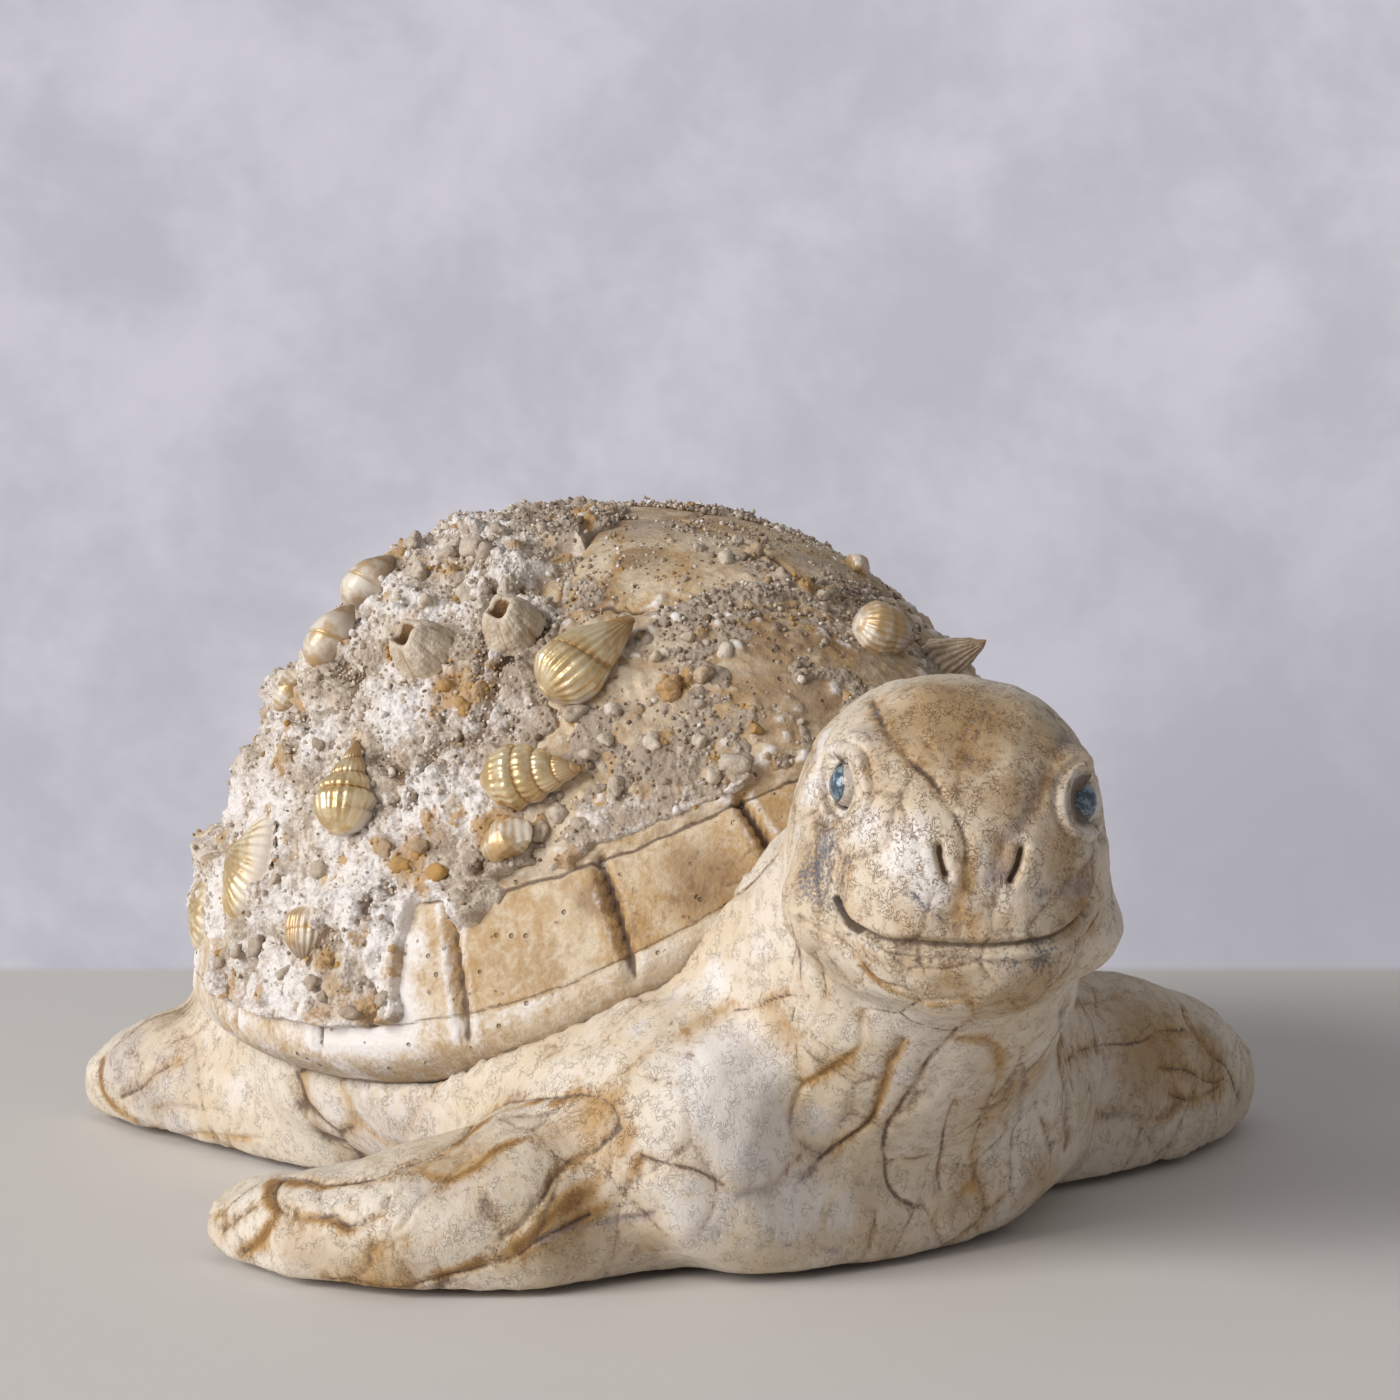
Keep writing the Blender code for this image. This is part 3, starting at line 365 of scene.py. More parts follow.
def traced(tree, places):
    """A traced path laid on a surface: where each sight line meets it."""
    pixels = np.array(places, dtype=float).reshape(-1, 2)
    pixels = curved(pixels) if len(pixels) > 1 else pixels
    start = Vector(CAMERA_PLACE)
    met = [tree.ray_cast(start, Vector(direction))[0] for direction in sight_lines(pixels)]
    return np.array([tuple(place) for place in met if place is not None]).reshape(-1, 3)


def distance_to(points, path, reach):
    """Distance from each point to a path of straight pieces, or reach where it is farther."""
    found = np.full(len(points), reach)
    if len(path) == 0:
        return found
    boxed = (points > path.min(0) - reach) & (points < path.max(0) + reach)
    near = np.flatnonzero(np.all(boxed, axis=1))
    if len(near) == 0:
        return found
    if len(path) == 1:
        away = np.linalg.norm(points[near] - path[0], axis=1)
    else:
        start, span = path[:-1], path[1:] - path[:-1]
        out = points[near][:, None] - start[None]
        along = np.sum(out * span, axis=-1) / np.maximum(np.sum(span * span, axis=-1), 1e-14)
        out -= np.clip(along, 0.0, 1.0)[..., None] * span
        away = np.sqrt(np.min(np.sum(out * out, axis=-1), axis=1))
    found[near] = np.minimum(away, reach)
    return found


# Materials.

def srgb(red, green, blue):
    """A colour from 0..255 display values, as linear light."""
    parts = np.array((red, green, blue)) / 255.0
    linear = np.where(parts <= 0.04045, parts / 12.92, ((parts + 0.055) / 1.055) ** 2.4)
    return (*(float(part) for part in linear), 1.0)


class Value:
    """A number that varies over a surface. Python's operators on it add Math nodes."""

    def __init__(self, finish, socket):
        self.finish, self.socket = finish, socket

    def maths(self, operation, *others):
        """One Math node on this value and others."""
        inputs = {index: value for index, value in enumerate((self, *others))}
        return self.finish.node("ShaderNodeMath", {"operation": operation}, inputs)

    def __add__(self, other):
        return self.maths("ADD", other)

    __radd__ = __add__

    def __mul__(self, other):
        return self.maths("MULTIPLY", other)

    __rmul__ = __mul__

    def __sub__(self, other):
        return self.maths("SUBTRACT", other)

    def __rsub__(self, other):
        return self.finish.node("ShaderNodeMath", {"operation": "SUBTRACT"}, {0: other, 1: self})

    def larger(self, other):
        """The larger of two values."""
        return self.maths("MAXIMUM", other)

    def eased(self, low, high):
        """0 below low, 1 above high and an ease between."""
        return self.finish.node(
            "ShaderNodeMapRange", {"interpolation_type": "SMOOTHSTEP"},
            {"Value": self, "From Min": low, "From Max": high})


class Finish:
    """A material in the making: its nodes, and its one Principled shader."""

    def __init__(self, name, roughness, **constants):
        self.material = bpy.data.materials.new(name)
        self.material.use_nodes = True
        self.tree = self.material.node_tree
        self.shader = self.tree.nodes["Principled BSDF"]
        self.shader.inputs["Roughness"].default_value = roughness
        for key, value in constants.items():
            self.shader.inputs[key.replace("_", " ")].default_value = value
        self.place = self.node("ShaderNodeTexCoord", {}, {}, "Object")

    def node(self, kind, settings, inputs, output=0):
        """Any node by its type, its settings and the values or links of its sockets."""
        made = self.tree.nodes.new(kind)
        for key, value in settings.items():
            setattr(made, key, value)
        for key, value in inputs.items():
            if isinstance(value, Value):
                self.tree.links.new(value.socket, made.inputs[key])
            else:
                made.inputs[key].default_value = value
        return Value(self, made.outputs[output])

    def stretched(self, scale):
        """Object coordinates with each axis scaled."""
        return self.node("ShaderNodeMapping", {}, {"Vector": self.place, "Scale": scale})

    def noise(self, size, detail=3.0, roughness=0.55, distortion=0.0, place=None):
        """Noise from 0 to 1 with features of about the given size in metres."""
        inputs = {"Vector": place or self.place, "Scale": 1.0 / size, "Detail": detail,
                  "Roughness": roughness, "Distortion": distortion}
        return self.node("ShaderNodeTexNoise", {}, inputs)

    def cells(self, size):
        """Distance to the nearest scattered point, in cell sizes."""
        return self.node("ShaderNodeTexVoronoi", {}, {"Vector": self.place, "Scale": 1.0 / size}, "Distance")

    def held(self, name):
        """A value kept on the mesh's points."""
        return self.node("ShaderNodeAttribute", {"attribute_name": name}, {}, "Fac")

    def spread(self, name, gain, low, high, *grains):
        """Where a kept value lies between low and high, its edge broken by noises of given weights."""
        amount = self.held(name) * gain
        for pattern, weight in grains:
            amount = amount + (pattern - 0.5) * weight
        return amount.eased(low, high)

    def mix(self, first, second, share):
        """First colour where share is 0, second where it is 1."""
        return self.node("ShaderNodeMix", {"data_type": "RGBA"}, {0: share, 6: first, 7: second}, 2)

    def coat(self, colour, tint, strength, name, gain, low, high, *grains):
        """A colour with a tint over it, as strong as given, where a kept value spreads."""
        return self.mix(colour, tint, self.spread(name, gain, low, high, *grains) * strength)

    def bump(self, height, depth):
        """Feeds the normal with a height from 0 to 1 that stands for a depth in metres."""
        self.feed("Normal", self.node("ShaderNodeBump", {}, {"Height": height, "Distance": depth}, "Normal"))

    def feed(self, socket, value):
        """Links a value to the shader."""
        self.tree.links.new(value.socket, self.shader.inputs[socket])


# Paints of the casting and the plates.
CREAM = srgb(213, 196, 170)
PALE_CREAM = srgb(225, 214, 199)
TAN = srgb(176, 147, 108)
CHALK = srgb(230, 224, 220)
OCHRE = srgb(180, 140, 82)
DEEP_OCHRE = srgb(142, 102, 50)
BARK_BROWN = srgb(132, 98, 64)
DULL_BROWN = srgb(146, 118, 88)
CRACK_BROWN = srgb(134, 100, 66)
UMBER = srgb(92, 72, 58)
LILAC_GREY = srgb(150, 141, 145)
SLATE = srgb(100, 102, 114)
# Sand, grit and lime.
STONE_GREY = srgb(170, 154, 137)
CREAM_GREY = srgb(213, 200, 183)
# Brown of the painted shade in the crust's cavities.
CAVITY_SHADE_BROWN = srgb(100, 76, 52)
GRAIN_BROWN = srgb(120, 100, 80)
LIME_BEIGE = srgb(192, 174, 150)
LIME_BROWN = srgb(142, 108, 70)
# Gold and pearl of the sea shells.
DULL_GOLD = srgb(212, 184, 136)
BRIGHT_GOLD = srgb(236, 218, 180)
SUTURE_SHADE_BROWN = srgb(158, 118, 68)
TIP_BROWN = srgb(150, 108, 62)
WORN_CREAM = srgb(214, 203, 188)
PEARL = srgb(222, 212, 196)
PEARL_SHADE = srgb(198, 182, 166)
GOLD_BLUSH = srgb(196, 156, 84)
PEARL_TIP = srgb(132, 98, 62)
# Eyes and felt.
IRIS_SLATE = srgb(58, 76, 92)
IRIS_FLECK = srgb(134, 156, 172)
EYE_WHITE = srgb(196, 186, 176)
EYE_SHADE = srgb(160, 146, 132)
EYE_RIM = srgb(46, 48, 54)
FELT_GREY = srgb(92, 86, 82)
FELT_SHADE = srgb(62, 57, 54)
# Table and backdrop.
TABLE_PALE = srgb(224, 221, 218)
TABLE_SHADE = srgb(219, 215, 211)
BACKDROP_LILAC = srgb(182, 180, 190)
BACKDROP_PALE = srgb(200, 197, 206)
BACKDROP_GREY = srgb(160, 158, 167)
BLACK = (0.0, 0.0, 0.0, 1.0)


def carved_paint():
    """Cream paint over carving: ochre and brown wash along the cuts, painted lilac-grey shade, tan
    paint that is also painted shade on the side away from the lamp, chalk rubbed on the high places
    with a painted highlight on the lit chest, umber in the cut lines, slate dashes and painted slate
    shade, short brown cracks and fine brown grains."""
    paint = Finish("carved_cream_paint", 0.5, Specular_IOR_Level=0.5)
    broad = paint.noise(0.022, 3.0, 0.55)
    patchy = paint.noise(0.007, 4.0, 0.6, 0.4)
    brushed = paint.noise(0.0018, 4.0, 0.65, 0.8, paint.stretched((1.0, 1.0, 0.4)))
    fine = paint.noise(0.0006, 2.0, 0.6)
    colour = paint.mix(CREAM, PALE_CREAM, (broad * 0.6 + brushed * 0.4).eased(0.4, 0.6))
    # Tan paint, and painted shade where tan is laid over the side turned from the lamp.
    colour = paint.coat(colour, TAN, 1.0, "tan", 1.1, 0.15, 1.2, (patchy, 0.9), (brushed, 0.7))
    # Chalk rubbed on the high places, and a painted highlight on the lit chest.
    chalk_and_highlight = paint.spread("chalk_and_highlight", 1.1, 0.3, 0.95, (patchy, 0.9), (brushed, 0.8))
    colour = paint.mix(colour, CHALK, chalk_and_highlight * 0.85)
    edge = paint.spread("edge", 1.1, 0.35, 1.25, (patchy, 1.0), (brushed, 1.3))
    colour = paint.mix(colour, OCHRE, edge * 0.7)
    brown = (edge * 1.3 + (brushed - 0.5) * 1.2 - 0.35).eased(0.2, 0.9)
    colour = paint.mix(colour, BARK_BROWN, brown * 0.45)
    ochre = paint.spread("ochre", 1.1, 0.25, 1.15, (patchy, 0.8), (brushed, 1.1))
    colour = paint.mix(colour, OCHRE, ochre * 0.8)
    colour = paint.coat(colour, DEEP_OCHRE, 0.8, "ochre", 1.0, 0.9, 1.5, (brushed, 1.0))
    # Painted lilac-grey shade in the recesses and beside the cuts.
    colour = paint.coat(colour, LILAC_GREY, 0.7, "lilac", 1.0, 0.3, 1.1, (patchy, 0.7), (fine, 0.5))
    wander = paint.noise(0.0013, 2.0, 0.6, 1.2) - 0.5
    cracks = (1.0 - wander.maths("ABSOLUTE") * 2.0).eased(0.90, 0.99)
    cracks = cracks * paint.noise(0.0028, 2.0, 0.6).eased(0.42, 0.60)
    specks = paint.held("specks") * 0.75
    colour = paint.mix(colour, CRACK_BROWN, cracks * (specks + 0.12))
    grains = paint.noise(0.00055, 3.0, 0.75).eased(0.53, 0.66) * (patchy + brushed).eased(0.85, 1.15)
    colour = paint.mix(colour, BARK_BROWN, grains * (specks + edge * 0.35 + 0.15))
    colour = paint.coat(colour, UMBER, 0.84, "line", 1.25, 0.3, 0.98, (fine, 0.6), (brushed, 0.8))
    # Slate-blue dashes, and painted slate shade at the mouth, under the lower lip, on the cheek and round
    # the eyes.
    colour = paint.coat(colour, SLATE, 0.8, "slate", 0.9, 0.5, 1.0, (fine, 2.2), (patchy, 0.8))
    paint.feed("Base Color", colour)
    paint.feed("Roughness", 0.56 - chalk_and_highlight * 0.14 + (brushed - 0.5) * 0.2)
    paint.bump(brushed * 0.6 + fine * 0.3 - cracks * 0.5, 0.00022)
    return paint.material


def washed_paint():
    """The shell's plates: cream and ochre wash over stone grey, chips of chalk along the edges, painted
    brown shade where the plates lie in shade, and painted grey shade on the lip under the rim.
    """
    paint = Finish("washed_plate_paint", 0.62, Specular_IOR_Level=0.4)
    broad = paint.noise(0.018, 3.0)
    patchy = paint.noise(0.006, 4.0, 0.62, 0.5)
    fine = paint.noise(0.0009, 3.0, 0.6)
    streaky = paint.noise(0.0022, 4.0, 0.65, 0.6)
    colour = paint.mix(TAN, CREAM, (broad * 0.5 + streaky * 0.5).eased(0.36, 0.58))
    # Stone grey over the dome, and painted shade on the lip under the rim.
    colour = paint.coat(colour, STONE_GREY, 1.0, "grey", 1.0, 0.3, 0.9, (patchy, 0.8))
    ochre = paint.spread("ochre", 1.0, 0.4, 1.05, (patchy, 1.5), (fine, 0.5))
    colour = paint.mix(colour, OCHRE, ochre * 0.8)
    # Dull brown over the dome, deeper where painted shade is laid.
    colour = paint.coat(colour, DULL_BROWN, 0.85, "brown", 1.0, 0.2, 1.0, (patchy, 1.0), (streaky, 0.8))
    colour = paint.coat(colour, BARK_BROWN, 0.7, "ochre", 1.0, 0.75, 1.35, (streaky, 2.2), (fine, 0.6))
    colour = paint.coat(colour, CHALK, 1.0, "chalk_and_highlight", 1.0, 0.35, 0.9, (patchy, 1.2), (fine, 0.7))
    pits = (1.0 - paint.cells(0.0024)).eased(0.78, 0.9) * paint.noise(0.006).eased(0.5, 0.6)
    line = paint.spread("line", 1.2, 0.35, 1.0, (fine, 0.5)).larger(pits * 0.6)
    colour = paint.mix(colour, UMBER, line * 0.85)
    paint.feed("Base Color", colour)
    paint.bump(patchy * 0.5 + fine * 0.5 - pits, 0.0005)
    return paint.material


def crust_paint():
    """Sand set in resin: stone and cream grains, chalk dust, ochre patches, and painted brown shade in the
    cavities.
    """
    paint = Finish("sand_crust", 0.85, Specular_IOR_Level=0.25)
    patchy = paint.noise(0.005, 3.0, 0.6)
    grain = paint.cells(0.0008)
    speck = paint.noise(0.0009, 2.0, 0.7)
    fine = paint.noise(0.0004, 2.0, 0.7)
    colour = paint.coat(STONE_GREY, CREAM_GREY, 1.0, "tint", 0.8, 0.15, 0.7, (speck, 0.6))
    dust = paint.spread("dust", 1.0, 0.3, 0.85, (patchy, 0.8), (speck, 0.8), (fine, 0.5))
    colour = paint.mix(colour, CHALK, dust)
    colour = paint.coat(colour, OCHRE, 0.8, "ochre", 1.0, 0.4, 0.95, (patchy, 0.6), (speck, 0.9))
    # Painted shade: brown darkening in the pits, valleys and crevices between the lumps.
    cavity_shade = (paint.held("hollow") + (grain - 0.45) * 0.4 + (fine - 0.5) * 0.7).eased(0.3, 1.0)
    colour = paint.mix(colour, CAVITY_SHADE_BROWN, cavity_shade * 0.88)
    paint.feed("Base Color", colour)
    paint.bump((1.0 - grain) * 0.6 + fine * 0.5, 0.0004)
    return paint.material


def grit_paint():
    """Loose grit: each grain has its own shade from chalk through stone to dark brown, or ochre."""
    paint = Finish("grit", 0.82, Specular_IOR_Level=0.3)
    fine = paint.noise(0.0006, 3.0, 0.65)
    shade = paint.held("shade") + (fine - 0.5) * 0.35
    colour = paint.mix(CHALK, CREAM_GREY, shade.eased(0.15, 0.4))
    colour = paint.mix(colour, STONE_GREY, shade.eased(0.35, 0.7))
    colour = paint.mix(colour, GRAIN_BROWN, shade.eased(0.78, 1.0))
    colour = paint.coat(colour, OCHRE, 1.0, "ochre", 1.0, 0.4, 0.9, (fine, 0.6))
    paint.feed("Base Color", colour)
    paint.bump(fine, 0.0003)
    return paint.material


def gold_paint():
    """Pale gold paint with painted ochre-brown shade in the sutures and between the ribs, which leaves the
    ribs bright, rubbed through to cream at the foot.
    """
    paint = Finish("brushed_gold_paint", 0.34, Specular_IOR_Level=0.5)
    patchy, fine = paint.noise(0.004, 3.0, 0.6), paint.noise(0.0007, 3.0)
    colour = paint.mix(DULL_GOLD, BRIGHT_GOLD, patchy.eased(0.4, 0.6))
    # Painted shade: ochre-brown, less metallic and rougher in the sutures and between the ribs.
    recess = paint.spread("recess", 1.0, 0.4, 1.0, (fine, 0.4))
    colour = paint.mix(colour, SUTURE_SHADE_BROWN, recess * 0.7)
    tip = paint.held("tip").eased(0.6, 1.0)
    colour = paint.mix(colour, TIP_BROWN, tip * 0.75)
    worn = paint.spread("foot", 1.15, 0.35, 0.9, (patchy, 0.9))
    colour = paint.mix(colour, WORN_CREAM, worn)
    paint.feed("Base Color", colour)
    paint.feed("Metallic", 0.62 - worn * 0.55 - recess * 0.2 - tip * 0.3)
    paint.feed("Roughness", 0.28 + worn * 0.3 + recess * 0.15 + fine * 0.12)
    paint.bump(fine, 0.00008)
    return paint.material


def pearl_paint():
    """Pearly cream with a gold blush on one side and a brown tip."""
    paint = Finish("pearl_gold_paint", 0.3, Specular_IOR_Level=0.55, Coat_Weight=0.25, Coat_Roughness=0.2)
    patchy, fine = paint.noise(0.005, 3.0), paint.noise(0.0008, 3.0)
    colour = paint.mix(PEARL, PEARL_SHADE, patchy.eased(0.42, 0.62))
    blush = (paint.held("recess") * 0.6 + patchy.eased(0.35, 0.7) * 0.8).eased(0.2, 1.0)
    colour = paint.mix(colour, GOLD_BLUSH, blush * 0.7)
    colour = paint.mix(colour, PEARL_TIP, paint.held("tip").eased(0.5, 1.0) * 0.85)
    paint.feed("Base Color", colour)
    paint.feed("Metallic", blush * 0.35)
    paint.feed("Roughness", 0.3 + fine * 0.15)
    paint.bump(fine, 0.00008)
    return paint.material


def lime_paint():
    """Chalky lime of barnacles and limpets, brown inside and between the plates."""
    paint = Finish("barnacle_lime", 0.85, Specular_IOR_Level=0.25)
    patchy, fine = paint.noise(0.003, 4.0, 0.65), paint.noise(0.0006, 2.0)
    colour = paint.mix(CREAM_GREY, LIME_BEIGE, (patchy + (fine - 0.5) * 0.4).eased(0.35, 0.65))
    colour = paint.coat(colour, LIME_BROWN, 0.9, "recess", 1.0, 0.3, 0.95, (patchy, 0.8))
    paint.feed("Base Color", colour)
    paint.bump(patchy * 0.5 + fine * 0.5, 0.0005)
    return paint.material


def eye_paint():
    """A painted eye: slate-blue iris with pale flecks, a dark rim and a chalky white."""
    paint = Finish("painted_eye", 0.3, Coat_Weight=0.5, Coat_Roughness=0.12)
    iris = paint.held("iris")
    mottle, fine = paint.noise(0.0016, 3.0, 0.6, 0.5), paint.noise(0.0005, 3.0)
    blue = paint.mix(IRIS_SLATE, IRIS_FLECK, (mottle + (fine - 0.5) * 0.5).eased(0.45, 0.68))
    white = paint.mix(EYE_WHITE, EYE_SHADE, fine.eased(0.4, 0.7))
    rim = (iris - 0.5).maths("ABSOLUTE").eased(0.16, 0.02)
    colour = paint.mix(white, blue, (iris + (fine - 0.5) * 0.12).eased(0.46, 0.54))
    colour = paint.mix(colour, EYE_RIM, rim * (0.45 + fine * 0.6))
    paint.feed("Base Color", colour)
    paint.feed("Roughness", 0.2 + fine * 0.2)
    return paint.material


def felt_finish():
    """Short grey-brown felt."""
    paint = Finish("grey_felt", 0.95, Specular_IOR_Level=0.1)
    fibre, broad = paint.noise(0.0004, 3.0, 0.7, 1.0), paint.noise(0.002, 2.0)
    paint.feed("Base Color", paint.mix(FELT_GREY, FELT_SHADE, (fibre * 0.7 + broad * 0.3).eased(0.4, 0.62)))
    paint.bump(fibre, 0.0003)
    return paint.material


# The dome of the shell.

def rim_height(angle):
    """Height of the rim at an angle in degrees from the front, lifted over the neck and tail."""
    turned = np.abs(wrapped(angle))
    over_neck = RIM_LIFT_OVER_NECK * bell(turned, RIM_LIFT_SPREAD)
    return RIM_HEIGHT_SIDE + over_neck + RIM_LIFT_OVER_TAIL * (turned / 180.0) ** 2


def dome(angle, share):
    """Points of the smooth dome: an oval plan, and a height over the rim of
    (1 - share^fullness)^rounding of the way up to the apex."""
    turn, rim = np.radians(angle), rim_height(angle)
    risen = np.clip(1.0 - share**DOME_FULLNESS, 0.0, 1.0) ** DOME_ROUNDING
    height = rim + (APEX_HEIGHT - rim) * risen
    across, back = HALF_WIDTH * share * np.sin(turn), -HALF_LENGTH * share * np.cos(turn)
    return np.stack([across, back, height], axis=-1) + SHELL_MIDDLE


def plan_place(points):
    """Angle and share of points in the dome's oval plan."""
    local = points - SHELL_MIDDLE
    across, ahead = local[:, 0] / HALF_WIDTH, -local[:, 1] / HALF_LENGTH
    return np.degrees(np.arctan2(across, ahead)), np.hypot(across, ahead)


def dome_normals(angle, share):
    """The dome's outward directions, from short steps along it."""
    inner = dome(angle, np.maximum(share - 0.01, 0.001))
    outer = dome(angle, np.minimum(share + 0.01, 0.995))
    left, right = dome(angle - 1.0, share), dome(angle + 1.0, share)
    normals = unit(np.cross(outer - inner, right - left))
    return normals * np.where(normals[..., 2:] < 0.0, -1.0, 1.0)


def uneven(low, high, count, density):
    """Places from low to high, closer together where the density is larger."""
    fine = np.linspace(low, high, 2001)
    amount = np.concatenate([[0.0], np.cumsum(density((fine[1:] + fine[:-1]) / 2.0))])
    return np.interp(np.linspace(0.0, amount[-1], count), amount, fine)


def even_shares(low, high, count, extra=lambda share: 1.0):
    """Shares of the way out that lie evenly along the dome's slope, closer where extra is larger."""
    def slope(share):
        """How long the dome's slope is over a short step of the share, on the right flank."""
        ahead, behind = np.minimum(share + 0.0004, 0.9999), share - 0.0004
        side = np.full_like(share, -60.0)
        return np.linalg.norm(dome(side, ahead) - dome(side, behind), axis=-1) * extra(share)
    return uneven(low, high, count, slope)


def seam_path(angles, shares):
    """A seam on the dome through places given as angles and shares."""
    t = np.linspace(0.0, 1.0, 40)
    stops = np.linspace(0.0, 1.0, len(angles))
    return dome(np.interp(t, stops, angles), np.interp(t, stops, shares))


def build_dome_tree():
    """A search tree of the smooth dome, for sight lines."""
    angles = np.linspace(-180.0, 180.0, 181)[:-1]
    share, angle = np.meshgrid(np.linspace(0.01, 0.9995, 70), angles, indexing="ij")
    points, faces = closed_rings(dome(angle, share))
    return BVHTree.FromPolygons(points.tolist(), faces.tolist())


dome_tree = build_dome_tree()


def spots(places, points, soften=0.6):
    """1 within each traced round place of (x, y, radius in pixels), falling to 0 outside it."""
    total = np.zeros(len(points))
    for x, y, radius in places:
        middle = traced(dome_tree, (x, y))
        if len(middle):
            away = np.linalg.norm(points - middle[0], axis=1) / (radius * PIXEL_ON_SHELL)
            total = np.maximum(total, fall(1.0 - soften, 1.0 + soften, away))
    return total


def cover_in_solids(angle, share):
    """How thick the crust lies on the solids, from 0 to 1."""
    turned = wrapped(angle)
    flank = fall(55.0, 85.0, np.abs(turned + 118.0))
    far_side = 0.7 * fall(25.0, 60.0, np.abs(turned - 105.0))
    front = 0.55 * fall(30.0, 60.0, np.abs(turned + 15.0)) * ramp(0.5, 0.62, share)
    below_band = 1.0 - ramp(0.86, 0.93, share) * fall(40.0, 70.0, np.abs(turned + 125.0))
    return np.maximum(np.maximum(flank, far_side), front) * below_band * fall(0.95, 0.99, share)


def blobs(points, size, seed, least):
    """Round tops about scattered points, sqrt(1 - (away / 0.62)^2) high, where the point's own
    number is at least a given one, and that number."""
    away, _, name = pebbled(points, size, seed)
    return np.where(name > least, np.sqrt(np.clip(1.0 - (away / 0.62) ** 2, 0.0, 1.0)), 0.0), name


# Round places on the shell: x and y in the frame and radius in pixels. Here no crust lies.
BARE_PLACES = (
    (577, 534, 18), (560, 556, 24), (552, 586, 20), (612, 562, 28), (645, 578, 16), (585, 630, 24),
    (606, 540, 22), (545, 545, 16), (572, 574, 18), (566, 600, 14), (590, 528, 12), (775, 650, 12),
    (820, 700, 14), (745, 690, 10), (780, 735, 12), (620, 640, 12), (432, 1000, 20), (428, 960, 14),
    (440, 1042, 16), (250, 1066, 26), (296, 1078, 14), (214, 1046, 24),
)
# Here crust lies past the solids' bed.
CRUSTED_PLACES = (
    (680, 530, 26), (720, 545, 26), (760, 565, 26), (800, 585, 24), (640, 520, 14), (545, 505, 14),
    (600, 505, 12), (860, 630, 26), (700, 640, 22), (660, 640, 24), (690, 700, 34), (650, 740, 44),
    (720, 770, 26), (600, 790, 50), (560, 840, 40), (530, 700, 40), (470, 900, 40), (330, 1010, 50),
    (280, 990, 50), (240, 960, 40), (380, 1040, 36),
)
# Valleys in the crust: x, y places, half width in mm and depth, where 2.4 is the whole depth.
VALLEYS = (
    ((548, 625, 530, 650, 512, 668, 498, 690, 488, 715, 482, 738), 2.2, 2.4),
    ((500, 600, 490, 640, 486, 680), 1.8, 2.0),
    ((470, 745, 448, 742, 436, 760, 428, 782), 1.8, 2.2),
    ((345, 668, 358, 690, 352, 706), 2.4, 2.2),
    ((385, 762, 398, 772, 412, 780), 1.6, 2.0),
    ((300, 716, 318, 724, 326, 736), 1.4, 1.6),
    ((560, 850, 540, 870, 520, 876), 1.6, 1.8),
    ((612, 672, 640, 662, 668, 640), 1.6, 1.8),
    ((555, 700, 560, 716, 570, 735), 1.0, 1.5),
    ((236, 968, 240, 990, 246, 1012), 1.8, 2.0),
    ((378, 990, 386, 1006, 380, 1024), 1.8, 1.8),
    ((330, 1008, 340, 1016), 1.2, 1.5),
)
# Here the crust is stained ochre.
OCHRE_PLACES = (
    (420, 862, 30), (672, 692, 20), (500, 828, 24), (455, 690, 26), (470, 710, 16), (575, 718, 16),
    (350, 1000, 26), (248, 1000, 26), (378, 1010, 20), (330, 1020, 20), (340, 960, 14), (570, 860, 16),
    (455, 575, 30), (752, 555, 20), (610, 585, 16), (760, 735, 12), (405, 790, 10), (720, 760, 12),
    (300, 770, 22), (560, 560, 14),
)
# Here the crust has sunk.
SUNK_PLACES = ((262, 890, 40), (312, 944, 26), (218, 918, 26), (355, 790, 18))
# Painted shade: here the plates are painted darker brown and ochre, where they face away from the lamp and
# lie in the head's shadow.
PAINTED_SHADE_PLACES = (
    (800, 700, 60), (770, 640, 40), (820, 640, 40), (600, 600, 30), (640, 560, 30), (700, 880, 40),
    (600, 900, 24),
)
# Here chalk dust lies thick.
DUSTY_PLACES = (
    (380, 910, 36), (300, 990, 30), (405, 730, 26), (470, 800, 40), (430, 800, 30), (520, 720, 24),
    (340, 640, 30), (440, 920, 30), (280, 830, 40), (510, 660, 20), (430, 620, 24), (390, 600, 20),
    (600, 810, 20), (640, 800, 20),
)


# The plates of the shell.

# Marginal grooves as the angle at the band's upper edge and at the rim.
MARGINAL_GROOVES = (
    (-42.8, -38.6), (-24.6, -20.2), (-63.0, -58.9), (-82.2, -80.6), (-101.0, -99.0), (-121.0, -119.5),
    (-141.0, -139.0), (-160.5, -160.0), (179.5, 180.5), (-3.0, 0.5), (18.0, 21.0), (38.5, 41.5),
    (59.0, 61.5), (79.0, 81.0), (99.0, 101.0), (119.0, 121.5), (139.0, 141.0), (159.5, 160.5),
)
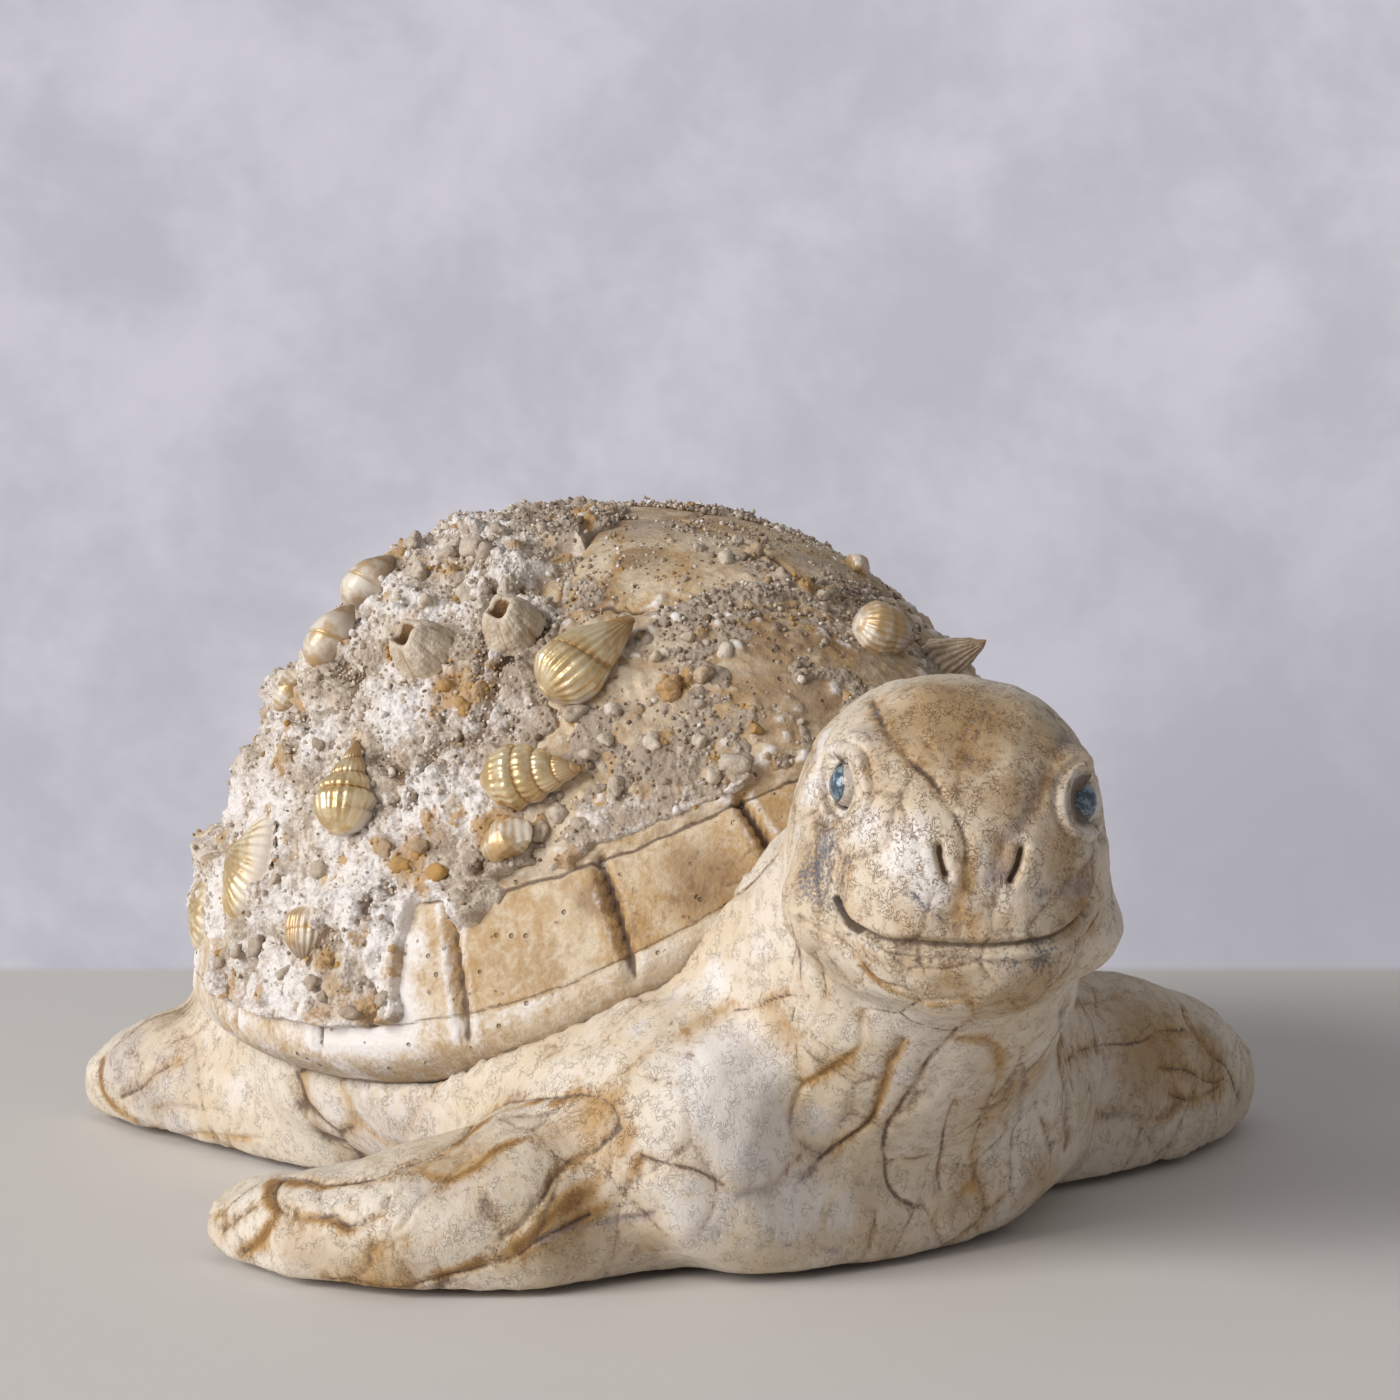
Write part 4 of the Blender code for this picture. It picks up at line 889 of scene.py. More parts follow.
# Seams between plates: angles, shares, half width and depth in mm.
PLATE_SEAMS = (
    ((-68, -62, -58, -55), (0.17, 0.26, 0.38, 0.53), 1.25, 2.2),
    ((-54, -56, -59), (0.56, 0.60, 0.66), 1.6, 2.0),
    ((-56, -50, -43, -33, -25, -17, -4, 8), (0.55, 0.552, 0.565, 0.59, 0.61, 0.635, 0.64, 0.62), 0.75, 0.9),
    ((8, 40, 80, 120, 160, 200, 240, 300), (0.62, 0.60, 0.60, 0.60, 0.60, 0.60, 0.60, 0.56), 0.9, 1.3),
    ((-150, -110, -70, -20, 20, 60, 100, 150, 210),
     (0.10, 0.09, 0.10, 0.14, 0.16, 0.16, 0.15, 0.12, 0.10), 1.0, 1.2),
    ((0, 3, 1), (0.16, 0.35, 0.62), 0.9, 1.2),
    ((60, 58, 61), (0.16, 0.35, 0.60), 1.1, 1.5),
    ((120, 122, 119), (0.15, 0.35, 0.60), 1.1, 1.5),
    ((180, 178, 181), (0.12, 0.35, 0.60), 1.1, 1.5),
    ((-120, -122, -119), (0.12, 0.35, 0.60), 1.1, 1.5),
    ((20, 19, 22), (0.61, 0.76, 0.92), 1.0, 1.3),
    ((100, 99, 101), (0.60, 0.76, 0.92), 1.0, 1.3),
    ((160, 161, 159), (0.60, 0.76, 0.92), 1.0, 1.3),
    ((-160, -159, -161), (0.60, 0.76, 0.92), 1.0, 1.3),
)


def groove_share(angle, share):
    """Distance in metres to the nearest marginal groove, which leans between its two angles."""
    away = np.full(np.shape(angle), 9.0)
    lean = np.clip((share - BAND_SHARE) / (1.0 - BAND_SHARE), 0.0, 1.0)
    for top, foot in MARGINAL_GROOVES:
        here = top + (foot - top) * lean
        turned = np.abs(wrapped(angle - here))
        away = np.minimum(away, np.radians(turned) * RIM_RADIUS)
    return away


def plate_fields(angle, share, points):
    """Height of the plates over the smooth dome and their paint: the band's step, cut grooves and
    seams, plates swelling between them, tooled waves and chipped edges."""
    wave = layered(points, 0.014, 3, 31)
    chips = layered(points, 0.0035, 3, 37)
    in_band = ramp(BAND_SHARE - 0.006, BAND_SHARE + 0.004, share + 0.004 * chips)
    height = BAND_STEP * in_band + 0.0004 * wave + 0.00012 * chips
    groove = groove_share(angle, share)
    within = ramp(BAND_SHARE - 0.012, BAND_SHARE, share)
    width = 0.0012 + 0.0003 * chips
    cut = within * fall(0.35, 1.0, groove / width)
    height -= 0.0026 * cut
    height += within * 0.0003 * bell(groove - 0.0024, 0.0009)
    line = within * fall(0.2, 0.9, groove / width)
    pale = within * bell(groove - 0.0021, 0.0008)
    nearest = np.full(len(points), 0.02)
    for angles, shares, half_width, depth in PLATE_SEAMS:
        wide = half_width * MM
        away = distance_to(points, seam_path(angles, shares), 0.02)
        dip = fall(0.25, 1.0, away / (wide * (1.0 + 0.25 * chips)))
        height -= depth * MM * dip
        line = np.maximum(line, dip)
        pale = np.maximum(pale, 0.7 * bell(away - 1.7 * wide, 0.7 * wide))
        nearest = np.minimum(nearest, away)
    crack = np.abs(share - BAND_SHARE + 0.0035 * chips) * SLOPE_LENGTH
    height -= 0.0007 * bell(crack, 0.0006)
    line = np.maximum(line, 0.9 * bell(crack, 0.00045))
    height += 0.0007 * ramp(0.0, 0.014, nearest) * (1.0 - in_band)
    height -= 0.0014 * ramp(0.75, 0.95, cover_in_solids(angle, share)) * (1.0 - in_band)
    drips = blobs(points, 0.0026, 307, 0.70)[0] + 0.6 * blobs(points, 0.0016, 401, 0.66)[0]
    drips *= (1.0 - in_band) * ramp(0.45, 0.62, share)
    height += 0.0008 * drips
    turned = wrapped(angle)
    front_band = in_band * fall(35.0, 62.0, np.abs(turned + 38.0))
    # Painted shade at the shaded places: more ochre, and brown below.
    painted_shade_spots = spots(PAINTED_SHADE_PLACES, points)
    stain = layered(points, 0.010, 3, 41)
    ochre = 0.42 + 0.35 * stain + 0.3 * bell(np.minimum(groove, nearest), 0.004)
    ochre += 0.18 * front_band + 0.02 * (1.0 - in_band) + 0.25 * painted_shade_spots
    chalk_and_highlight = 0.02 + 0.45 * layered(points, 0.012, 3, 43) + 0.45 * pale + 0.5 * drips
    chalk_and_highlight += 0.48 * in_band * fall(2.0, 19.0, np.abs(turned + 72.0))
    chalk_and_highlight += 0.50 * in_band * fall(30.0, 50.0, np.abs(turned + 108.0))
    below = share - 0.9925 + 0.0016 * chips
    line = np.maximum(line, 0.7 * bell(below, 0.0009))
    ochre *= 1.0 - 0.7 * ramp(0.0, 0.002, below)
    chalk_and_highlight = np.maximum(chalk_and_highlight, 0.5 * ramp(0.0, 0.002, below))
    height -= 0.0003 * ramp(-0.001, 0.001, below)
    grey = (1.0 - in_band) * (0.45 + 0.5 * layered(points, 0.012, 2, 47))
    # Brown: an even brown over the dome, and painted shade at the shaded places.
    brown = np.maximum(0.8 * painted_shade_spots, 0.25 * (1.0 - in_band))
    return height, {"line": line, "chalk_and_highlight": chalk_and_highlight, "ochre": ochre, "grey": grey, "brown": brown}


def build_plates(material):
    """The carapace as one grid of rings: dome and band, rounded rim, lip, and seat for the body."""
    angles = uneven(-180.0, 180.0, 441, lambda a: 1.0 + 0.75 * (np.abs(a + 45.0) < 90.0))[:-1]
    shares = even_shares(0.006, 0.9985, 176, lambda s: 1.0 + 1.2 * (np.abs(s - 0.945) < 0.055))
    share, angle = (part.ravel() for part in np.meshgrid(shares, angles, indexing="ij"))
    points, normals = dome(angle, share), dome_normals(angle, np.minimum(share, 0.985))
    height, paint = plate_fields(angle, share, points)
    height *= 1.0 - 0.4 * ramp(0.965, 0.9985, share)
    upper = (points + normals * height[:, None]).reshape(len(shares), len(angles), 3)
    turn, rim = np.radians(angles), rim_height(angles)
    oval = np.stack([np.sin(turn), -np.cos(turn)], axis=-1)

    def ring(half_width, half_length, heights):
        """A ring of the oval plan with given half sizes and heights."""
        plan = oval * np.array((half_width, half_length))
        return np.concatenate([plan, heights[:, None]], axis=1) + SHELL_MIDDLE

    turned = np.abs(wrapped(angles))
    depth = LIP_DEPTH_REAR + (LIP_DEPTH_FRONT - LIP_DEPTH_REAR) * bell(turned, 75.0)
    lip = [(LIP_INSET * part**1.4, part**0.8) for part in np.linspace(0.0, 1.0, 12)[1:]]
    rings = [ring(HALF_WIDTH - inset, HALF_LENGTH - inset, rim - depth * drop)
             for inset, drop in lip + [(0.010, 1.0), (0.0156, 1.0)]]
    seat = np.full(len(turn), SEAT_HEIGHT)
    rings += [ring(part * HALF_WIDTH, part * HALF_LENGTH, seat) for part in (0.5, 0.2)]
    lower = np.array(rings)
    lower[:10] += 0.0002 * layered(lower[:10], 0.006, 2, 53)[..., None] * np.array((0.0, 0.0, 1.0))
    points, faces = closed_rings(np.concatenate([upper, lower]))
    extra = lower.shape[0] * lower.shape[1]
    under = layered(lower.reshape(-1, 3), 0.012, 2, 59)
    # Painted shadow: a dark line on the lip's lowest rings, where the shell's underside meets the body.
    shadow_under_lip = np.repeat(ramp(7.0, 10.0, np.arange(lower.shape[0])), lower.shape[1])
    # The lip is painted stone grey all over: painted shade under the rim.
    blank = {"line": 0.8 * shadow_under_lip, "chalk_and_highlight": 0.5 + 0.4 * under, "ochre": 0.05 + 0.25 * under,
             "grey": np.full(extra, 0.55), "brown": np.zeros(extra)}
    values = {key: np.concatenate([paint[key], blank[key], paint[key][:1], blank[key][:1]]) for key in paint}
    return make_piece("shell_plates", points, faces, ["carapace"], material, values)


# The crust of sand on the dome.

def clods_in_solids(points):
    """Height of the solids' clods: at steps of the golden angle, each (1 - away^2)^2 high."""
    index = np.arange(CLOD_COUNT)
    drop = (index + 0.5) / CLOD_COUNT
    middles = dome(360.0 * GOLDEN_SHARE * index, CLOD_REACH * np.sqrt(1.0 - (1.0 - drop) ** 2))
    heights = CLOD_HEIGHT * (0.5 + 0.5 * (index * GOLDEN_SHARE % 1.0))
    away = np.linalg.norm(points[:, None] - middles, axis=-1) / CLOD_RADIUS
    return (heights * np.clip(1.0 - away**2, 0.0, 1.0) ** 2).sum(axis=1)


def crust_fields(angle, share):
    """The crust over the dome: points, normals, height and paint.

    Height is the bed and clods of the solids, with lumps, clumps and grains between scattered
    points, less pits and traced valleys. Where no crust lies it sinks under the plates.
    """
    points = dome(angle, share)
    normals = dome_normals(angle, np.minimum(share, 0.985))
    turned = wrapped(angle)
    front = fall(30.0, 62.0, np.abs(turned + 15.0)) * ramp(0.57, 0.64, share)
    front *= fall(BAND_SHARE - 0.03, BAND_SHARE - 0.005, share)
    solids_cover = cover_in_solids(angle, share)
    on_band = ramp(BAND_SHARE - 0.022, BAND_SHARE - 0.006, share)
    clump = fall(14.0, 22.0, np.abs(turned + 86.0)) * fall(0.988, 0.9955, share)
    outline = fall(0.955, 0.980, share) * fall(30.0, 50.0, np.abs(turned + 125.0))
    foot = fall(24.0, 36.0, np.abs(turned + 98.0)) * ramp(0.76, 0.86, share)
    cover = np.maximum(np.maximum(solids_cover, foot), 0.62 * front) * (1.0 - on_band)
    cover += 0.95 * np.maximum(clump, outline) * on_band
    cover -= 0.8 * fall(-180.0, -158.0, turned) * (turned < 0.0)
    front_plates = front * (1.0 - on_band)
    cover *= 1.0 - 0.38 * front_plates
    bare = spots(BARE_PLACES, points, 0.75)
    cover = cover - 1.0 * bare + 0.45 * spots(CRUSTED_PLACES, points)
    cover *= fall(0.990, 0.9965, share)
    ragged = layered(points, 0.007, 3, 61)
    present = ramp(0.22, 0.5, cover + 0.32 * ragged * (1.0 - 0.8 * ramp(0.7, 0.9, cover)))
    thick = np.clip(cover, 0.0, 1.0)
    rich = ramp(0.45, 0.9, thick)
    lumps = layered(points, 0.010, 3, 67)
    warp = shifts(points, 0.0024, 71) * 0.0006
    big, big_name = blobs(points + warp, 0.0046, 73, 0.40)
    middle, middle_name = blobs(points + warp, 0.0023, 77, 0.20 + 0.5 * (1.0 - rich))
    small, small_name = blobs(points + 0.5 * warp, 0.0012, 83, 0.15)
    pit = ramp(0.28, 0.56, layered(points, 0.0046, 2, 89)) * (0.25 + 0.75 * rich)
    valley = np.zeros(len(points))
    for places, half_width, depth in VALLEYS:
        away = distance_to(points, traced(dome_tree, places), 0.012) / (half_width * MM)
        valley = np.maximum(valley, fall(0.3, 1.25, away + 0.35 * ragged) * depth / 2.4)
    far = ramp(-62.0, -40.0, turned) * fall(125.0, 160.0, turned) * fall(0.66, 0.80, share)
    far = np.maximum(far, fall(0.20, 0.42, share))
    bed_cover = np.maximum(solids_cover, 0.7 * on_band)
    bed = (CRUST_THICKNESS + clods_in_solids(points)) * bed_cover + 0.0006 * (1.0 - bed_cover)
    height = bed * (1.0 - 0.68 * far) - 0.0018 * spots(SUNK_PLACES, points)
    height += 0.0006 * lumps + (0.0002 + 0.0012 * rich) * big + (0.0006 + 0.0003 * rich) * middle
    height += 0.0005 * small + 0.0003 * layered(points, 0.0011, 2, 373)
    height -= 0.0015 * pit + 0.0032 * valley + 0.0007 * rich
    height *= 1.0 - 0.75 * ramp(0.0, 0.6, bare) * (1.0 - on_band)
    height *= 1.0 - 0.35 * front_plates
    band_step = ramp(BAND_SHARE - 0.006, BAND_SHARE + 0.004, share)
    height = np.maximum(height, 0.0001) + (BAND_STEP + 0.0004) * band_step
    height = present * height - (1.0 - present) * 0.0016
    crevice = 1.0 - np.clip(np.maximum(1.3 * middle, big) + 0.35 * small, 0.0, 1.0)
    # Painted shade: how dark the pits, valleys and crevices between lumps are painted; the pits also get
    # less dust.
    hollow = 0.7 * pit + 0.9 * valley + (0.2 + 0.32 * rich) * crevice - 0.08
    dust = 0.45 + 0.55 * layered(points, 0.009, 3, 91) + 0.5 * spots(DUSTY_PLACES, points) - 0.25 * pit
    lower_right = ramp(0.78, 0.92, share) * fall(35.0, 55.0, np.abs(turned + 100.0))
    dust += 0.15 * lower_right + 0.2 * (middle_name - 0.5) - 0.45 * front - 0.2 * far
    ochre = 0.10 + 0.40 * layered(points, 0.008, 3, 97) + 0.65 * spots(OCHRE_PLACES, points)
    ochre += 0.75 * (big_name > 0.90) * big + 0.5 * (middle_name > 0.93)
    tint = 0.65 * middle_name + 0.35 * small_name - 0.4 * np.maximum(front, far)
    paint = {"hollow": hollow, "dust": dust, "ochre": ochre, "tint": tint}
    return points, normals, height, present, paint


def build_crust(name, angle_range, share_range, columns, rings, material):
    """A patch of crust as a closed sheet: its top follows the crust's height, its underside lies
    within the plates, and both meet round the patch's edge."""
    angles, shares = np.linspace(*angle_range, columns), even_shares(*share_range, rings)
    angle, share = (part.ravel() for part in np.meshgrid(angles, shares, indexing="ij"))
    points, normals, height, _, paint = crust_fields(angle, share)
    row, column = np.meshgrid(np.arange(columns), np.arange(rings), indexing="ij")
    edge = ((row == 0) | (row == columns - 1) | (column == 0) | (column == rings - 1)).ravel()
    height = np.where(edge, -0.0024, height)
    top = (points + normals * height[:, None]).reshape(columns, rings, 3)
    few = np.linspace(0, rings - 1, 9).astype(int)[1:-1][::-1]
    under = (points - normals * 0.0030).reshape(columns, rings, 3)[:, few]
    ends = np.zeros((columns, 1, 1))
    ends[0], ends[-1] = 1.0, 1.0
    under = under * (1.0 - ends) + top[:, few] * ends
    made, faces = closed_rings(np.concatenate([top, under], axis=1))
    values = {key: sheet_values(value.reshape(columns, rings), few) for key, value in paint.items()}
    return make_piece(name, made, faces, ["carapace"], material, values)


# Loose grit and bits of shell on the crust.

def ball(splits):
    """Points and triangles of a ball made from an icosahedron, each face split in four."""
    bm = bmesh.new()
    bmesh.ops.create_icosphere(bm, subdivisions=splits, radius=1.0)
    points = np.array([tuple(vertex.co) for vertex in bm.verts])
    faces = np.array([[vertex.index for vertex in face.verts] for face in bm.faces])
    bm.free()
    return points, faces


def turned_any_way(random, count):
    """Rotations chosen at random, from unit quaternions."""
    w, x, y, z = unit(random.normal(size=(count, 4))).T
    return np.stack([
        np.stack([1 - 2 * (y * y + z * z), 2 * (x * y - z * w), 2 * (x * z + y * w)], axis=-1),
        np.stack([2 * (x * y + z * w), 1 - 2 * (x * x + z * z), 2 * (y * z - x * w)], axis=-1),
        np.stack([2 * (x * z - y * w), 2 * (y * z + x * w), 1 - 2 * (x * x + y * y)], axis=-1),
    ], axis=1)


def strewn(places, sizes, shape, random, roughness, flatness):
    """A copy of a ball at each place, each squashed, dented and turned its own way."""
    points, faces = shape
    count = len(places)
    squash = random.uniform(flatness, 1.15, size=(count, 1, 3))
    dents = 1.0 + roughness * random.uniform(-1.0, 1.0, size=(count, len(points), 1))
    local = points[None] * squash * dents * (sizes / 2.0)[:, None, None]
    local = np.einsum("nij,nkj->nki", turned_any_way(random, count), local)
    made = (local + places[:, None]).reshape(-1, 3)
    return made, (faces[None] + (np.arange(count) * len(points))[:, None, None]).reshape(-1, 3)


def build_grit(name, count, angle_range, size_range, splits, seed, material):
    """Grains strewn where the crust lies, half sunk in it. Their number thins out with its cover."""
    shape = ball(splits)
    random = np.random.default_rng(seed)
    tries = count * 4
    angle = random.uniform(*angle_range, tries)
    share = np.sqrt(random.uniform(0.01, 0.975, tries))
    points, normals, height, present, paint = crust_fields(angle, share)
    few = 0.22 * (layered(points, 0.012, 2, 101) > -0.1) * (share < BAND_SHARE - 0.02)
    chance = np.where(present > 0.55, np.clip(0.35 + 0.9 * paint["hollow"], 0.25, 1.0), few)
    kept = np.flatnonzero(random.uniform(size=tries) < chance)[:count]
    smallest, largest = size_range
    sizes = random.uniform(0.0, 1.0, len(kept)) ** 1.8 * (largest - smallest) + smallest
    lift = np.maximum(height[kept], 0.0003) + 0.10 * sizes
    places = points[kept] + normals[kept] * lift[:, None]
    made, faces = strewn(places, sizes, shape, random, 0.16, 0.75)
    shade = np.clip(0.75 - 0.45 * paint["dust"][kept] + random.normal(0.0, 0.22, len(kept)), 0.0, 1.0)
    ochre = np.clip(paint["ochre"][kept] + random.normal(-0.08, 0.22, len(kept)), 0.0, 1.0)
    per = len(shape[0])
    values = {"shade": np.repeat(shade, per), "ochre": np.repeat(ochre, per)}
    return make_piece(name, made, faces, ["carapace"], material, values)


# Single bits seen in the crust: x, y, size in mm, shade from chalk to brown, ochre.
BITS = (
    (672, 692, 5.6, 0.35, 0.75), (617, 711, 3.4, 0.05, 0.1), (577, 717, 4.2, 0.45, 0.45),
    (732, 770, 5.4, 0.35, 0.35), (716, 780, 3.6, 0.15, 0.2), (655, 748, 3.6, 0.2, 0.35),
    (290, 888, 3.2, 0.4, 0.2), (330, 870, 3.4, 0.45, 0.2), (222, 838, 3.0, 0.4, 0.3),
    (275, 948, 3.6, 0.55, 0.3), (262, 952, 2.8, 0.5, 0.3), (452, 690, 3.0, 0.5, 0.8),
    (468, 712, 3.0, 0.45, 0.8), (455, 568, 4.0, 0.4, 0.3), (480, 560, 4.2, 0.35, 0.35),
    (430, 585, 4.0, 0.3, 0.15), (470, 600, 3.8, 0.3, 0.2), (440, 615, 3.8, 0.25, 0.2),
    (425, 560, 4.4, 0.4, 0.2), (395, 578, 4.0, 0.35, 0.1), (594, 512, 3.4, 0.75, 0.3),
    (583, 517, 2.2, 0.05, 0.0), (620, 790, 3.2, 0.4, 0.3), (585, 828, 3.6, 0.5, 0.4),
    (560, 815, 3.4, 0.35, 0.3), (545, 835, 3.6, 0.55, 0.5), (430, 850, 3.2, 0.6, 0.6),
    (410, 868, 3.4, 0.6, 0.8), (450, 878, 3.2, 0.5, 0.9), (395, 855, 3.0, 0.7, 0.6),
    (465, 560, 3.0, 0.4, 0.3), (752, 556, 3.6, 0.4, 0.6), (700, 552, 3.2, 0.4, 0.4),
    (725, 562, 3.0, 0.3, 0.3), (780, 580, 3.4, 0.5, 0.4), (820, 600, 3.2, 0.5, 0.4),
    (670, 545, 2.6, 0.3, 0.4), (655, 660, 3.0, 0.3, 0.5), (705, 680, 3.0, 0.35, 0.6),
    (725, 655, 2.8, 0.15, 0.2), (755, 735, 2.8, 0.4, 0.8), (690, 640, 2.8, 0.4, 0.5),
    (240, 965, 3.2, 0.6, 0.3), (345, 1000, 3.2, 0.65, 0.4), (365, 1015, 3.0, 0.6, 0.5),
    (330, 985, 3.0, 0.5, 0.4), (300, 975, 3.2, 0.45, 0.2), (395, 1000, 2.8, 0.5, 0.3),
    (440, 640, 3.0, 0.3, 0.4), (520, 655, 3.0, 0.15, 0.3), (490, 565, 3.4, 0.5, 0.2),
    (505, 545, 3.4, 0.5, 0.2), (484, 524, 4.4, 0.8, 0.1), (700, 745, 2.8, 0.3, 0.2),
    (610, 745, 3.0, 0.3, 0.3), (590, 760, 2.8, 0.35, 0.2),
)
# How many more bits lie about on the crust.
STREWN_BITS = 90


def build_bits(material):
    """Bits placed by sight lines, and pebbles strewn over the rest of the crust."""
    random = np.random.default_rng(11)
    rows = np.array(BITS)
    met = [traced(dome_tree, row[:2]) for row in rows]
    seen = np.array([len(place) > 0 for place in met])
    rows, middles = rows[seen], np.concatenate(met)
    angle, share = plan_place(middles)
    strewn_angle = random.uniform(-200.0, 160.0, STREWN_BITS)
    strewn_share = np.sqrt(random.uniform(0.02, 0.93, STREWN_BITS))
    angle, share = np.concatenate([angle, strewn_angle]), np.concatenate([share, strewn_share])
    points, normals, height, present, paint = crust_fields(angle, share)
    kept = np.flatnonzero((present > 0.6) | (np.arange(len(angle)) < len(rows)))
    sizes = np.concatenate([rows[:, 2] * MM, random.uniform(1.2, 2.4, STREWN_BITS) * MM])[kept]
    shade = np.concatenate([0.3 + 0.6 * rows[:, 3], random.uniform(0.3, 0.85, STREWN_BITS)])[kept]
    ochre = np.concatenate([rows[:, 4], np.clip(paint["ochre"][len(rows):], 0.0, 1.0)])[kept]
    places = points[kept] + normals[kept] * (np.maximum(height[kept], 0.0004) + 0.04 * sizes)[:, None]
    shape = ball(3)
    made, faces = strewn(places, sizes, shape, random, 0.0, 0.6)
    per = len(shape[0])
    centre = np.repeat(places, per, axis=0)
    size = np.repeat(sizes, per)[:, None]
    out = made - centre
    lumps = 1.0 + 0.95 * layered(made, 0.0017, 3, 103)[:, None] + 0.16 * noise(made, 0.0006, 107)[:, None]
    made = centre + out * np.clip(lumps, 0.35, 1.8) * np.minimum(1.0, 1.3 * size / (size + 0.0002))
    values = {"shade": np.repeat(shade, per), "ochre": np.repeat(ochre, per)}
    return make_piece("crust_bits", made, faces, ["carapace"], material, values)


# Sea shells. Each form lies along +X with its back up, and is then set on the dome.

def smooth_outline(shares, radii, at):
    """A profile through a few radii, smoothed by running means."""
    fine = np.linspace(0.0, 1.0, 801)
    radius = np.interp(fine, shares, radii)
    kernel = np.hanning(91) / np.hanning(91).sum()
    padded = np.concatenate([radius[45:0:-1], radius, radius[-2:-47:-1]])
    return np.interp(at, fine, np.convolve(padded, kernel, mode="valid"))


def whorled(length, width, outline, turns, swell, ribs, rib, rows=150):
    """A coiled snail: a turned outline whose radius dips along a suture that winds round it, with
    ribs that run with the axis. Whorls shorten towards the tip, as their count grows with the
    share of the length to the power 1.25."""
    share, angle = ring_grid(rows, 132)
    coil = (turns * share**1.25 - angle / (2.0 * np.pi) + 0.62) % 1.0
    bulge = np.abs(np.sin(np.pi * coil)) ** 0.55
    suture = fall(0.0, 0.16, np.minimum(coil, 1.0 - coil))
    past_body = ramp(0.16, 0.34, share)
    crest = (0.5 + 0.5 * np.cos(ribs * angle + 2.0 * share)) ** 0.8
    ribbed = ramp(0.0, 0.12, share) * fall(0.93, 1.0, share)
    radius = smooth_outline(*outline, share) * width / 2.0
    radius = radius * (1.0 + swell * past_body * (bulge - 0.8) + rib * (crest - 0.6) * ribbed)
    rings = np.stack([(share - 0.5) * length, radius * np.cos(angle), radius * np.sin(angle)], axis=-1)
    points, faces = closed_rings(rings)
    recess = np.maximum(suture * past_body, 0.55 * (1.0 - crest) * (ribs > 0))
    foot = np.clip(0.45 - 0.9 * np.sin(angle), 0.0, 1.0) * (0.6 + 0.4 * (1.0 - share))
    return points, faces, {"recess": with_ends(recess), "tip": with_ends(share), "foot": with_ends(foot)}


# Outlines of coiled shells: shares of the length and radii there against half the width.
WHELK = ((0.0, 0.06, 0.16, 0.34, 0.55, 0.78, 0.93, 1.0), (0.20, 0.55, 0.86, 1.0, 0.80, 0.42, 0.20, 0.04))
STUBBY_WHELK = (
    (0.0, 0.05, 0.16, 0.36, 0.55, 0.75, 0.92, 1.0),
    (0.12, 0.60, 0.95, 1.02, 0.82, 0.50, 0.27, 0.10),
)
SLIM_SPIRE = ((0.0, 0.06, 0.2, 0.42, 0.62, 0.8, 0.94, 1.0), (0.15, 0.60, 0.95, 1.0, 0.62, 0.34, 0.15, 0.03))
OLIVE = ((0.0, 0.05, 0.2, 0.42, 0.65, 0.85, 0.96, 1.0), (0.15, 0.55, 0.88, 1.0, 0.86, 0.50, 0.22, 0.04))
MOON = ((0.0, 0.06, 0.2, 0.45, 0.7, 0.88, 0.97, 1.0), (0.25, 0.62, 0.92, 1.0, 0.82, 0.50, 0.25, 0.08))


def scallop(size, ribs=15, rows=60, columns=181):
    """A fan shell: ribs and growth rings over a domed back, closed by a shallow underside."""
    fan_angles = np.radians(np.linspace(-70.0, 70.0, columns))
    s, fan = np.meshgrid(np.linspace(0.03, 1.0, rows), fan_angles, indexing="ij")
    reach = size * s * (0.80 + 0.20 * np.cos(fan * 1.2))
    arch = np.sqrt(np.clip(1.0 - (2.0 * s**0.85 - 0.9) ** 2, 0.0, 1.0)) * np.cos(fan * 0.95)
    crest = (0.5 + 0.5 * np.cos(fan / np.radians(140.0) * 2.0 * np.pi * ribs)) ** 0.8
    growth = 0.5 + 0.5 * np.cos(s * 2.0 * np.pi * 9.0)
    height = 0.30 * size * arch + size * s * (0.026 * (crest - 0.5) + 0.004 * growth)
    reach = reach * (1.0 + 0.012 * (crest - 0.5) * s)
    top = np.stack([reach * np.cos(fan) - size / 2.0, reach * np.sin(fan), height], axis=-1)
    few = np.arange(columns)[::-1][::12]
    under = top[:, few]
    under[..., 2] = -0.30 * size
    points, faces = closed_rings(np.concatenate([top, under], axis=1))
    worn = 0.15 + 0.75 * s**3 + 0.2 * np.sin(fan)
    fields = {"recess": 0.7 * (1.0 - crest), "tip": 0.0 * s, "foot": worn}
    return points, faces, {key: sheet_values(value, few) for key, value in fields.items()}


def barnacle(size):
    """A crater cone: six ribbed plates that lean in, a ragged lip and a hollow inside."""
    t, angle = ring_grid(60, 96)
    stops = (0.0, 0.28, 0.5, 0.66, 0.74, 0.82, 1.0)
    radius = np.interp(t, stops, (0.52, 0.46, 0.38, 0.28, 0.23, 0.19, 0.10))
    height = np.interp(t, stops, (-0.30, 0.0, 0.20, 0.36, 0.385, 0.34, 0.04))
    plates = np.abs(np.sin(3.0 * angle)) ** 0.5
    fine = 0.5 + 0.5 * np.cos(30.0 * angle)
    outside = fall(0.60, 0.76, t)
    radius = radius * (1.0 + outside * (0.10 * (plates - 0.6) + 0.04 * fine))
    height = height + np.where(t > 0.4, 0.05, 0.0) * np.sin(3.0 * angle + 0.7) * ramp(0.4, 0.7, t)
    rings = size * np.stack([radius * np.cos(angle), radius * np.sin(angle), height], axis=-1)
    rings += rings * 0.10 * layered(rings + size, size * 0.22, 3, 109)[..., None]
    points, faces = closed_rings(rings)
    recess = np.maximum(ramp(0.74, 0.86, t), 0.7 * (1.0 - plates) * outside)
    return points, faces, {"recess": np.concatenate([recess.ravel(), [0.0, 1.0]])}


